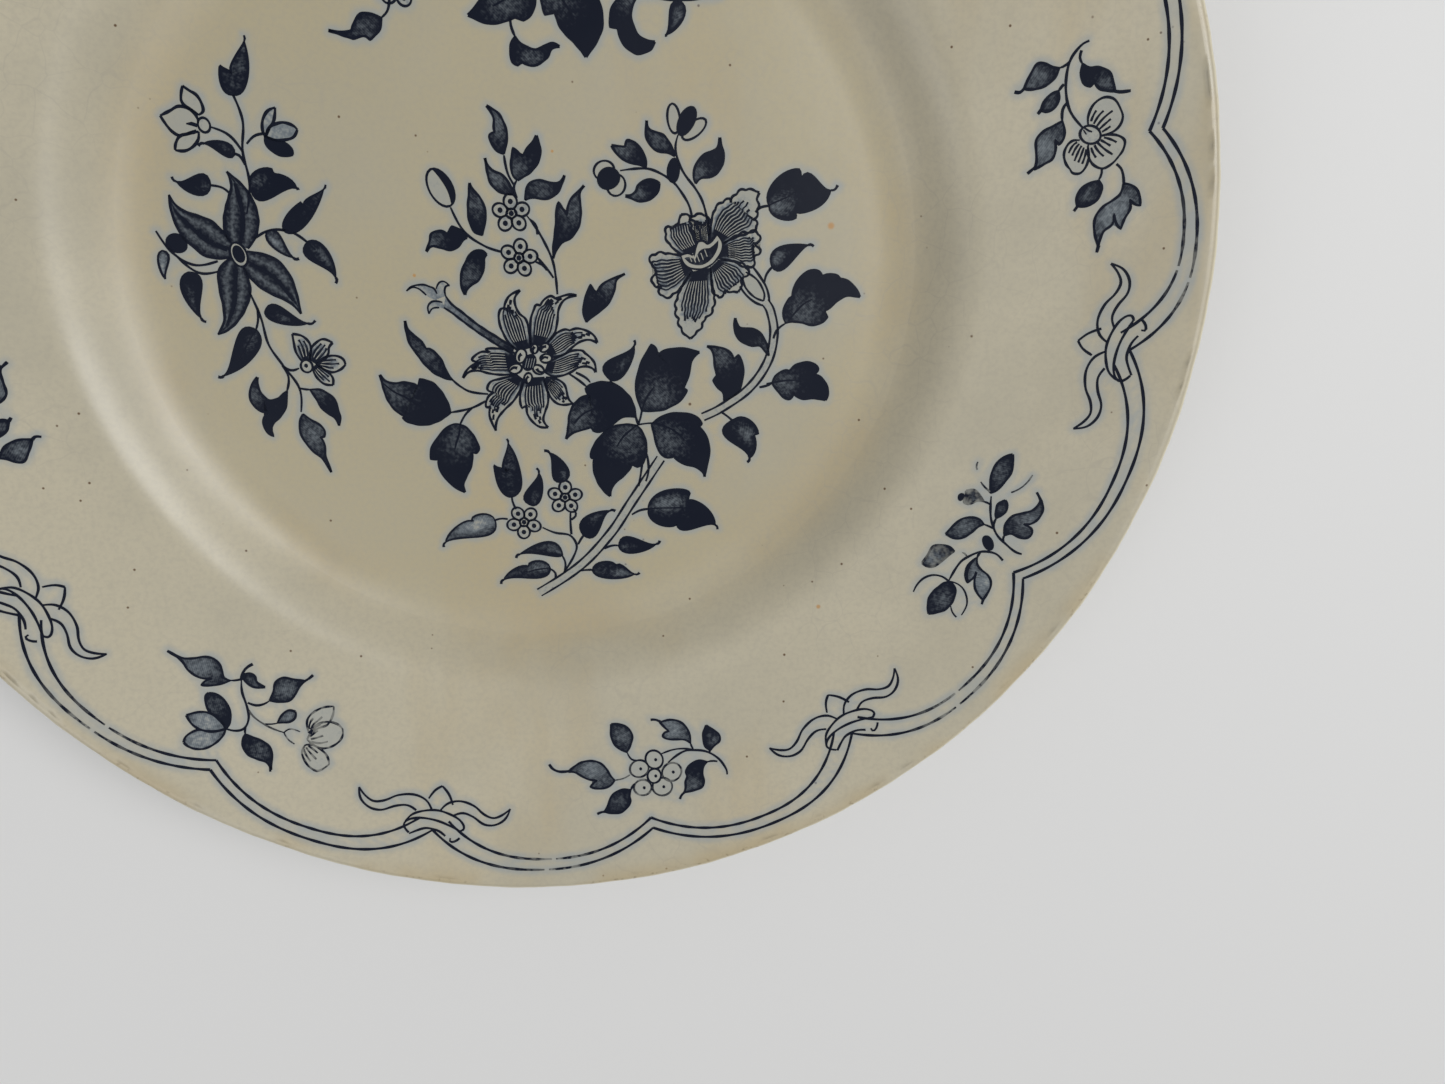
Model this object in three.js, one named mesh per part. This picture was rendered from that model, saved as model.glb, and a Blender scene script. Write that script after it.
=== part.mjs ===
// A round earthenware dinner plate with a printed border and flower sprays under its glaze.
//
// The plate is built up as the pottery builds it, from the clay out:
//   1. earthenware_body    one jiggered disc of clay with a flat well, a sloping rim and a foot ring
//   2. printed transfers   thin films of colour, cut from paper sheets and laid on the clay one by one
//   3. front_glaze         one coat of glass over the prints, round the rim edge and down to the foot
//   4. recess_glaze        the coat inside the foot ring, parted from the first by the bare foot
//
// Millimetres, +Z up. The origin is the centre of the foot ring, on the surface that the plate stands on.
import * as THREE from "three";

// The plate's outer shape, glaze included
const PLATE_RADIUS = 127;
const EDGE_RADIUS = 1.6;
const EDGE_HEIGHT = 21.8;
const WELL_RADIUS = 68;
const WELL_HEIGHT = 5.5;
const VERGE_RADIUS = 87;
const VERGE_HEIGHT = 15.2;
const WALL = 4.0;
const FOOT_OUTER_RADIUS = 74;
const FOOT_INNER_RADIUS = 70.5;
const FOOT_BARE_HEIGHT = 0.7;
const RECESS_HEIGHT = WELL_HEIGHT - WALL;

// The layers on the clay
const GLAZE = 0.25;
const PRINT = 0.08;
const LAYER_GAP = 0.1;
const CLAY_DEPTH = GLAZE + PRINT + 2 * LAYER_GAP;
const PRINT_DEPTH = CLAY_DEPTH - LAYER_GAP;

// The printed border
const REPEATS = 8;
const REPEAT_ANGLE = (2 * Math.PI) / REPEATS;
const FIRST_CUSP_ANGLE = THREE.MathUtils.degToRad(12.5);
const CUSP_RADIUS = 115.6;
const KNOT_RADIUS = 117.2;
const ARCH_RADIUS = 122.3;
const RIBBON_WIDTH = 2.8;
const BOW_RADIUS = 107;
const BOW_TIP = 2.6;
const SPRIG_RADIUS = 103.6;
const SPRIG_HALF_LENGTH = 9.8;
const SPRIG_HALF_ANGLE = THREE.MathUtils.degToRad(8.6);
const JOINT_GAP_ANGLE = THREE.MathUtils.degToRad(0.12);

const TURN_STEPS = 60;
const CURVE_STEPS = 4;

const clayFinish = { color: 0xd9cfb8, roughness: 0.9, metalness: 0 };
const glazeFinish = { color: 0xc9c4ac, roughness: 0.16, metalness: 0 };
const printFinish = { color: 0x1d2233, roughness: 0.35, metalness: 0 };

const plate = new THREE.Group();

function addPart(name, geometry, finish) {
  const mesh = new THREE.Mesh(geometry, new THREE.MeshStandardMaterial(finish));
  mesh.name = name;
  plate.add(mesh);
}

// ---- Sections through the plate: x is the radius, y the height ----

// The front, from the centre of the well, up the cavetto and along the rim.
function frontSection() {
  const section = new THREE.Path();
  const edgeCentre = PLATE_RADIUS - EDGE_RADIUS;
  section.moveTo(0, WELL_HEIGHT);
  section.lineTo(WELL_RADIUS, WELL_HEIGHT);
  section.bezierCurveTo(
    WELL_RADIUS + 9.5, WELL_HEIGHT,
    VERGE_RADIUS - 8, VERGE_HEIGHT - 1.1,
    VERGE_RADIUS, VERGE_HEIGHT,
  );
  section.quadraticCurveTo(
    VERGE_RADIUS + 20, VERGE_HEIGHT + 3.4,
    edgeCentre - 0.4, EDGE_HEIGHT + EDGE_RADIUS - 0.05,
  );
  return section;
}

// The whole glazed outside: the front, round the rim edge, and the back down to the foot ring.
function outsideSection() {
  const section = frontSection();
  section.absarc(PLATE_RADIUS - EDGE_RADIUS, EDGE_HEIGHT, EDGE_RADIUS, 1.82, -1.35, true);
  section.lineTo(VERGE_RADIUS + 2, VERGE_HEIGHT - WALL);
  section.bezierCurveTo(
    VERGE_RADIUS - 8, VERGE_HEIGHT - WALL - 1.6,
    FOOT_OUTER_RADIUS + 7, RECESS_HEIGHT + 1.8,
    FOOT_OUTER_RADIUS + 1.2, RECESS_HEIGHT + 0.8,
  );
  section.lineTo(FOOT_OUTER_RADIUS + CLAY_DEPTH, FOOT_BARE_HEIGHT);
  return section;
}

// The glazed recess inside the foot ring, from the ring to the centre.
function recessSection() {
  const section = new THREE.Path();
  section.moveTo(FOOT_INNER_RADIUS - CLAY_DEPTH, FOOT_BARE_HEIGHT);
  section.lineTo(FOOT_INNER_RADIUS - 1.2, RECESS_HEIGHT);
  section.lineTo(0, RECESS_HEIGHT);
  return section;
}

// A section's points moved into the plate by depth, along the surface's own normal.
function sunk(points, depth) {
  return points.map((point, i) => {
    const before = points[Math.max(i - 1, 0)];
    const after = points[Math.min(i + 1, points.length - 1)];
    const into = new THREE.Vector2(after.y - before.y, before.x - after.x).normalize();
    const moved = point.clone().addScaledVector(into, depth);
    return point.x === 0 ? moved.setX(0) : moved;
  });
}

const outside = outsideSection().getPoints(CURVE_STEPS);
const recess = recessSection().getPoints(CURVE_STEPS);

// ---- Solids turned about the plate's axis ----

function turned(profile) {
  return new THREE.LatheGeometry(profile, TURN_STEPS).rotateX(Math.PI / 2);
}

// A closed solid between two surfaces that both start on the axis.
function turnedBetween(lower, upper) {
  return turned([...lower, ...upper.toReversed()]);
}

function clayBody() {
  const foot = [
    new THREE.Vector2(FOOT_INNER_RADIUS, 0),
    new THREE.Vector2(FOOT_OUTER_RADIUS, 0),
  ];
  const underside = sunk(recess, CLAY_DEPTH).toReversed();
  return turnedBetween([...underside, ...foot], sunk(outside, CLAY_DEPTH));
}

// ---- Printed films ----

const printLine = sunk(frontSection().getPoints(4 * CURVE_STEPS), PRINT_DEPTH);

// The height of the underside of a print at a radius.
function printHeight(radius) {
  const outer = printLine.findIndex((point) => point.x >= radius);
  const a = printLine[outer - 1];
  const b = printLine[outer];
  return THREE.MathUtils.mapLinear(radius, a.x, b.x, a.y, b.y);
}

// A film on the rim between two angles. innerRadius and outerRadius give its outline at each
// share of the way along, and the film is laid in rows between them.
function rimFilm(startAngle, endAngle, steps, rows, innerRadius, outerRadius) {
  const perSide = (steps + 1) * (rows + 1);
  const positions = [];
  for (const lift of [0, PRINT]) {
    for (let step = 0; step <= steps; step++) {
      const share = step / steps;
      const angle = THREE.MathUtils.lerp(startAngle, endAngle, share);
      for (let row = 0; row <= rows; row++) {
        const radius = THREE.MathUtils.lerp(innerRadius(share), outerRadius(share), row / rows);
        const height = printHeight(radius) + lift;
        positions.push(radius * Math.cos(angle), radius * Math.sin(angle), height);
      }
    }
  }
  const index = [];
  const quad = (a, b, c, d) => index.push(a, b, c, a, c, d);
  const at = (step, row) => step * (rows + 1) + row;
  for (let step = 0; step < steps; step++) {
    for (let row = 0; row < rows; row++) {
      const corners = [at(step, row), at(step, row + 1), at(step + 1, row + 1), at(step + 1, row)];
      quad(...corners.map((corner) => corner + perSide));
      quad(...corners.reverse());
    }
    quad(at(step, 0), at(step, 0) + perSide, at(step + 1, 0) + perSide, at(step + 1, 0));
    quad(at(step + 1, rows), at(step + 1, rows) + perSide, at(step, rows) + perSide, at(step, rows));
  }
  for (let row = 0; row < rows; row++) {
    quad(at(0, row + 1), at(0, row + 1) + perSide, at(0, row) + perSide, at(0, row));
    quad(at(steps, row), at(steps, row) + perSide, at(steps, row + 1) + perSide, at(steps, row + 1));
  }
  const geometry = new THREE.BufferGeometry();
  geometry.setAttribute("position", new THREE.Float32BufferAttribute(positions, 3));
  return geometry.setIndex(index);
}

// One border section holds one cusp of the ribbon and one bow. share runs from the joint with the
// section before it, at 0, to the joint with the next, at 1.
const CUSP_SHARE = 0.28;
const BOW_SHARE = CUSP_SHARE + 0.5;
const BOW_HALF_SHARE = 0.18;

// The ribbon's middle line: an arch from each cusp to the bow beside it, half a repeat away.
function ribbonRadius(share) {
  const fromCusp = share - CUSP_SHARE;
  const arch = Math.sqrt(Math.abs(Math.sin(2 * Math.PI * fromCusp)));
  const nearCusp = Math.abs(fromCusp) < 0.25;
  return THREE.MathUtils.lerp(nearCusp ? CUSP_RADIUS : KNOT_RADIUS, ARCH_RADIUS, arch);
}

// The inner edge of a border section: the ribbon's own edge, cut wider round the bow and its tails.
function borderInnerRadius(share) {
  const fromBow = Math.abs(share - BOW_SHARE) / BOW_HALF_SHARE;
  const tip = BOW_TIP * Math.max(0, 1 - 4 * fromBow);
  return fromBow < 1 ? BOW_RADIUS - tip : ribbonRadius(share) - RIBBON_WIDTH / 2;
}

function borderSection(cuspAngle) {
  const start = cuspAngle - CUSP_SHARE * REPEAT_ANGLE + JOINT_GAP_ANGLE;
  const end = cuspAngle + (1 - CUSP_SHARE) * REPEAT_ANGLE - JOINT_GAP_ANGLE;
  return rimFilm(start, end, 40, 1, borderInnerRadius, (share) => ribbonRadius(share) + RIBBON_WIDTH / 2);
}

function rimSprig(cuspAngle) {
  const reach = (share) => {
    const across = 2 * share - 1;
    const leaves = 0.8 + 0.2 * Math.cos(5 * Math.PI * across);
    return SPRIG_HALF_LENGTH * leaves * Math.sqrt(1.04 - across ** 2);
  };
  return rimFilm(
    cuspAngle - SPRIG_HALF_ANGLE, cuspAngle + SPRIG_HALF_ANGLE, 14, 2,
    (share) => SPRIG_RADIUS - reach(share),
    (share) => SPRIG_RADIUS + reach(share),
  );
}

// A spray in the flat of the well, cut out round its leaves with a smooth outline.
function wellSpray(outline) {
  const points = outline.map(([x, y]) => new THREE.Vector2(x, y));
  const edge = new THREE.SplineCurve([...points, points[0]]).getPoints(3 * points.length);
  edge.pop();
  const film = new THREE.ExtrudeGeometry(new THREE.Shape(edge), { depth: PRINT, bevelEnabled: false });
  return film.translate(0, 0, WELL_HEIGHT - PRINT_DEPTH);
}

const BOUQUET = [
  [0, -66.5], [21, -63], [26, -55], [38, -52], [36, -43], [46, -37], [60, -26], [60, -17], [52, -12], [65, -5],
  [60, 2], [56, 8], [60, 16], [51, 20], [38, 17], [38, 26], [28, 31], [22, 26], [12, 18], [0, 27], [-7, 30],
  [-12, 18], [-19, 17], [-19, 5], [-24, -3], [-24, -10], [-30, -19], [-24, -30], [-19, -44], [-9, -38],
  [-20, -50], [-20, -56], [-6, -56], [-9, -63],
];
const SIDE_SPRAY = [
  [-41, -40], [-34, -30], [-36, -18], [-44, -8], [-34, -2], [-36, 16], [-42, 22], [-40, 27], [-48, 40],
  [-56, 34], [-61, 29], [-64, 17], [-66, 7], [-66, -3], [-62, -10], [-61, -21], [-56, -24], [-54, -32],
];
const HEAD_SPRAY = [
  [-34, 41], [-22, 38], [-9, 42], [3, 36], [14, 37], [24, 38], [37, 46], [30, 57], [14, 64], [-6, 65],
  [-22, 60], [-32, 50],
];

// ---- Assembly ----

addPart("earthenware_body", clayBody(), clayFinish);
addPart("front_glaze", turnedBetween(sunk(outside, GLAZE), outside), glazeFinish);
addPart("recess_glaze", turnedBetween(recess.toReversed(), sunk(recess, GLAZE).toReversed()), glazeFinish);

for (let repeat = 0; repeat < REPEATS; repeat++) {
  const cuspAngle = FIRST_CUSP_ANGLE + repeat * REPEAT_ANGLE;
  addPart(`border_print_${repeat + 1}`, borderSection(cuspAngle), printFinish);
  addPart(`rim_sprig_print_${repeat + 1}`, rimSprig(cuspAngle), printFinish);
}

addPart("bouquet_print", wellSpray(BOUQUET), printFinish);
addPart("side_spray_print", wellSpray(SIDE_SPRAY), printFinish);
addPart("head_spray_print", wellSpray(HEAD_SPRAY), printFinish);

export default plate;
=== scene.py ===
import math

import bpy
import numpy as np
from mathutils import Euler, Matrix, Vector, kdtree


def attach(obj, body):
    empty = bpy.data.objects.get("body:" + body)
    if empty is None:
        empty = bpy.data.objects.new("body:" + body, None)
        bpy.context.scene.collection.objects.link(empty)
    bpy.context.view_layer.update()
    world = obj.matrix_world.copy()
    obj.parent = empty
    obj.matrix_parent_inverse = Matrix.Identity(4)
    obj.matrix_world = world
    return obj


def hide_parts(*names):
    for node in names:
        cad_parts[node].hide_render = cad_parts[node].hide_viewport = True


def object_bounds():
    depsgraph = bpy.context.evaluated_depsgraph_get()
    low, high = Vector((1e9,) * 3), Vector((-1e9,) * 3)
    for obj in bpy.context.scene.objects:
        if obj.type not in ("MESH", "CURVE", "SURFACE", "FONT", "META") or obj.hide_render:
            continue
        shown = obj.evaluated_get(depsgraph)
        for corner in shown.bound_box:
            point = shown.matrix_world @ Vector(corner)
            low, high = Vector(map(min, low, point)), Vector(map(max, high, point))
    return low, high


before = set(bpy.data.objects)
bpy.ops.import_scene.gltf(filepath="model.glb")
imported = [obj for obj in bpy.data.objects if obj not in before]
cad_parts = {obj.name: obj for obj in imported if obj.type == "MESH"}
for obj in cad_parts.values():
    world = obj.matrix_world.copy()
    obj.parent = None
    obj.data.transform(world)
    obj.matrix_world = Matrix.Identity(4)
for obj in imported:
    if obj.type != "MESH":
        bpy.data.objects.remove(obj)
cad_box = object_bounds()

PLATE_RADIUS = 127.0
MM = (cad_box[1].x - cad_box[0].x) / 2 / PLATE_RADIUS
PLATE_HEIGHT = cad_box[1].z / MM

rng = np.random.default_rng(1887)

# ---- The plate's shape ----

EDGE_RADIUS = 1.6
EDGE_HEIGHT = PLATE_HEIGHT - EDGE_RADIUS
WELL_RADIUS = 68.0
WELL_HEIGHT = 5.5
VERGE_RADIUS = 87.0
VERGE_HEIGHT = 15.2
WALL = 4.0
FOOT_OUTER_RADIUS = 74.0
FOOT_INNER_RADIUS = 70.5
FOOT_BARE_HEIGHT = 0.7
RECESS_HEIGHT = WELL_HEIGHT - WALL
RECESS_ROUND = 1.4
FOOT_ROUND = 0.6
GLAZE = 0.25
STILT_RADIUS = 52.0
STILT_MARK_RADIUS = 0.9
STILT_MARK_DEPTH = 0.35
TURN_STEPS = 512


def bezier(a, b, c, d, steps=24):
    """Points along a cubic curve from a to d."""
    t = np.linspace(0, 1, steps)[:, None]
    a, b, c, d = (np.array(p, float) for p in (a, b, c, d))
    return a * (1 - t) ** 3 + 3 * b * t * (1 - t) ** 2 + 3 * c * t * t * (1 - t) + d * t**3


def arc(centre, radius, start, end, steps=9):
    """Points round a circle between two angles in radians."""
    turn = np.linspace(start, end, steps)[:, None]
    return np.array(centre) + radius * np.hstack([np.cos(turn), np.sin(turn)])


def joined(*runs):
    """One line from several, without the points that repeat where they meet."""
    line = np.vstack([np.atleast_2d(run) for run in runs])
    step = np.linalg.norm(np.diff(line, axis=0), axis=1)
    return line[np.concatenate([[True], step > 1e-6])]


def resampled(line, count):
    """The same line with count points, evenly spaced."""
    line = joined(line)
    along = np.concatenate([[0], np.cumsum(np.linalg.norm(np.diff(line, axis=0), axis=1))])
    where = np.linspace(0, along[-1], count)
    return np.stack([np.interp(where, along, line[:, 0]), np.interp(where, along, line[:, 1])], 1)


def sunk(line, depth):
    """A section moved into the plate by depth, along its own normal."""
    tangent = np.gradient(line, axis=0)
    tangent /= np.linalg.norm(tangent, axis=1)[:, None]
    moved = line + depth * np.stack([tangent[:, 1], -tangent[:, 0]], 1)
    return np.stack([np.where(line[:, 0] < 1e-6, 0.0, moved[:, 0]), moved[:, 1]], 1)


edge_centre = (PLATE_RADIUS - EDGE_RADIUS, EDGE_HEIGHT)
front = joined(
    [(0, WELL_HEIGHT), (WELL_RADIUS, WELL_HEIGHT)],
    bezier(
        (WELL_RADIUS, WELL_HEIGHT),
        (WELL_RADIUS + 9.5, WELL_HEIGHT),
        (VERGE_RADIUS - 8, VERGE_HEIGHT - 1.1),
        (VERGE_RADIUS, VERGE_HEIGHT),
    ),
    bezier(
        (VERGE_RADIUS, VERGE_HEIGHT),
        (VERGE_RADIUS + 13.3, VERGE_HEIGHT + 2.27),
        (edge_centre[0] - 12.4, PLATE_HEIGHT - 3.2),
        (edge_centre[0] - 0.4, PLATE_HEIGHT - 0.05),
    ),
)
edge = arc(edge_centre, EDGE_RADIUS, 1.82, -1.35, 15)
back = joined(
    [(edge[-1][0], edge[-1][1]), (VERGE_RADIUS + 2, VERGE_HEIGHT - WALL)],
    bezier(
        (VERGE_RADIUS + 2, VERGE_HEIGHT - WALL),
        (VERGE_RADIUS - 8, VERGE_HEIGHT - WALL - 1.6),
        (FOOT_OUTER_RADIUS + 7, RECESS_HEIGHT + 1.8),
        (FOOT_OUTER_RADIUS + 1.2, RECESS_HEIGHT + 0.8),
    ),
    [(FOOT_OUTER_RADIUS + GLAZE, FOOT_BARE_HEIGHT)],
)
front_line = resampled(front, 132)
outside = joined(front_line, edge, resampled(back, 34))
recess_flat = FOOT_INNER_RADIUS - 2.6
recess = joined(
    resampled([(0, RECESS_HEIGHT), (recess_flat, RECESS_HEIGHT)], 48),
    arc((recess_flat, RECESS_HEIGHT - RECESS_ROUND), RECESS_ROUND, math.pi / 2, 0.35, 7),
    [(FOOT_INNER_RADIUS - GLAZE, FOOT_BARE_HEIGHT)],
)

# Slow waves left in the clay by the hand that worked it: direction, wave length and height.
CLAY_WAVES = [(0.4, 61, 0.05), (1.9, 43, 0.035), (2.7, 29, 0.02), (3.6, 88, 0.06), (5.1, 17, 0.008)]


def clay_wave(x, y):
    """How far the front surface stands over its true section."""
    height = np.zeros_like(np.asarray(x, float))
    for heading, length, size in CLAY_WAVES:
        forwards = x * math.cos(heading) + y * math.sin(heading)
        height += size * np.sin(2 * math.pi * forwards / length + 7 * heading)
    return height


def front_height(x, y):
    """The height of the glazed front over a place on the table."""
    return np.interp(np.hypot(x, y), front_line[:, 0], front_line[:, 1]) + clay_wave(x, y)


# ---- Meshes ----


def mesh_piece(name, verts, faces, node, material, attributes=None, smooth=True):
    """A piece of the plate that stands for one CAD node."""
    mesh = bpy.data.meshes.new(name)
    mesh.from_pydata([tuple(v) for v in np.asarray(verts) * MM], [], faces)
    mesh.validate()
    mesh.polygons.foreach_set("use_smooth", [smooth] * len(mesh.polygons))
    for key, values in (attributes or {}).items():
        layer = mesh.attributes.new(key, "FLOAT", "POINT")
        layer.data.foreach_set("value", np.asarray(values, np.float32))
    mesh.materials.append(material)
    mesh.update()
    piece = bpy.data.objects.new(name, mesh)
    bpy.context.scene.collection.objects.link(piece)
    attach(piece, "root")
    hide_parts(node)


def turned(section):
    """Vertices and faces of a section turned about the plate's axis. Both its ends are on the axis."""
    turn = np.linspace(0, 2 * math.pi, TURN_STEPS, endpoint=False)
    rings = section[1:-1]
    x = rings[:, :1] * np.cos(turn)
    y = rings[:, :1] * np.sin(turn)
    z = np.repeat(rings[:, 1:], TURN_STEPS, axis=1)
    verts = np.stack([x, y, z], 2).reshape(-1, 3)
    verts = np.vstack([verts, [[0, 0, section[0][1]], [0, 0, section[-1][1]]]])
    ring = np.arange(TURN_STEPS)
    following = (ring + 1) % TURN_STEPS
    faces = []
    for i in range(len(rings) - 1):
        a = i * TURN_STEPS + ring
        b = i * TURN_STEPS + following
        faces += np.stack([a, a + TURN_STEPS, b + TURN_STEPS, b], 1).tolist()
    last = (len(rings) - 1) * TURN_STEPS
    faces += np.stack([ring, following, np.full(TURN_STEPS, len(verts) - 2)], 1).tolist()
    faces += np.stack([last + following, last + ring, np.full(TURN_STEPS, len(verts) - 1)], 1).tolist()
    return verts, faces


# ---- Lines of the drawing ----

# The width of an engraved line and of the thinnest film, the step between the points of an outline,
# the leaf length from which a vein shows, and the spacing of the engraved shading.
LINE = 0.42
LEAST_WIDTH = 0.03
FINE_STEP = 0.3
VEINED_LENGTH = 9.0
HATCH_SPACING = 0.36
# How far fills, fine rays and lines stand above the glaze, what each layer adds, and how deep they reach.
FILL_LIFT = 0.03
RAY_LIFT = 0.042
LINE_LIFT = 0.055
LAYER_LIFT = 0.035
FILM_DEPTH = 0.06


def smooth_line(points, spacing=0.5):
    """A smooth line through given points."""
    p = np.array(points, float)
    gaps = np.linalg.norm(np.diff(p, axis=0), axis=1)
    at = np.concatenate([[0], np.cumsum(gaps)])
    if len(p) == 2:
        return resampled(p, max(3, round(at[-1] / spacing)))
    slopes = np.empty_like(p)
    slopes[1:-1] = (p[2:] - p[:-2]) / (at[2:] - at[:-2])[:, None]
    slopes[0] = 1.5 * (p[1] - p[0]) / gaps[0] - 0.5 * slopes[1]
    slopes[-1] = 1.5 * (p[-1] - p[-2]) / gaps[-1] - 0.5 * slopes[-2]
    where = np.linspace(0, at[-1], max(4, round(at[-1] / spacing)))
    i = np.clip(np.searchsorted(at, where, "right") - 1, 0, len(p) - 2)
    h = gaps[i][:, None]
    s = ((where - at[i]) / gaps[i])[:, None]
    start = p[i] * (1 + 2 * s) * (1 - s) ** 2 + slopes[i] * h * s * (1 - s) ** 2
    end = p[i + 1] * s * s * (3 - 2 * s) + slopes[i + 1] * h * s * s * (s - 1)
    return start + end


def leftward(line):
    """At each point of a line, the direction to its left."""
    tangent = np.gradient(line, axis=0)
    tangent /= np.linalg.norm(tangent, axis=1)[:, None] + 1e-9
    return np.stack([-tangent[:, 1], tangent[:, 0]], 1)


def outline(*runs):
    """A line of smooth runs through given points. A run starts where the one before it ends,
    with a corner there."""
    line = smooth_line(runs[0], FINE_STEP)
    for run in runs[1:]:
        line = joined(line, smooth_line([tuple(line[-1]), *run], FINE_STEP))
    return line


def bulge(start, end, depth, point=0.0, sway=0.0, lean=0.4):
    """A line from start to end that swells by depth to its left. point draws its far end out thin, as
    on a leaf, and sway bends it in an S, first to the left by that much and then to the right."""
    start, end = np.array(start, float), np.array(end, float)
    along = end - start
    left = np.array([-along[1], along[0]]) / np.linalg.norm(along)
    first = start + along * (lean - 0.32) + left * (depth * (1.45 + 0.45 * point) + sway)
    second = start + along * (lean + 0.33) + left * (depth * (1.15 - 0.75 * point) - 1.3 * sway)
    return bezier(start, first, second, end, max(7, round(np.linalg.norm(along) / 0.6)))


def leaf_side(base, tip, depth, lobe=None, sway=0.0):
    """One side of a leaf: plain, or out to a pointed lobe, in to a notch, and on to the tip."""
    if lobe is None:
        return bulge(base, tip, depth, 1.2, sway)
    base, tip, lobe = (np.array(p, float) for p in (base, tip, lobe))
    rib = (tip - base) / np.linalg.norm(tip - base)
    out = (lobe - base) - rib * np.dot(lobe - base, rib)
    notch = lobe - 0.3 * out - rib * 0.1
    side = math.copysign(1, depth)
    to_lobe = bulge(base, lobe, side * 0.25 * np.linalg.norm(lobe - base), lean=0.45)
    to_tip = bulge(notch, tip, side * 0.17 * np.linalg.norm(tip - notch), 0.8, sway * 0.6)
    return joined(to_lobe, to_tip)


def across(left, right, share, start=0.0, end=1.0, count=12):
    """A line between two sides: share is -1 on the left side, 0 midway, and 1 on the right."""
    whole = 41
    both = (1 - share) / 2 * resampled(left, whole) + (1 + share) / 2 * resampled(right, whole)
    first = round(start * (whole - 1))
    last = round(end * (whole - 1))
    return resampled(both[first : last + 1], count)


def ruffled(side, depth, length=1.9):
    """A petal's side with scallops beyond its base. A depth over 0 stands out to the left."""
    step = 0.24
    count = round(np.linalg.norm(np.diff(side, axis=0), axis=1).sum() / step)
    side = resampled(side, count)
    run = step * np.arange(count)
    share = run / run[-1]
    scallop = depth * np.abs(np.sin(math.pi * run / length)) * np.clip(4 * share - 1, 0, 1)
    scallop *= np.clip(5 * (1 - share), 0, 1)
    return side + leftward(side) * scallop[:, None]


def columns_over(width, least=3, size=0.8):
    """How many columns of faces a film of this width has."""
    return max(least, round(width / size))


def widest(left, right):
    """How far apart two sides are at their widest."""
    return np.linalg.norm(left - resampled(right, len(left)), axis=1).max()


def turned_by(vector, degrees):
    """A flat vector turned anticlockwise."""
    a = math.radians(degrees)
    x, y = vector
    return np.array([x * math.cos(a) - y * math.sin(a), x * math.sin(a) + y * math.cos(a)])


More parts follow.
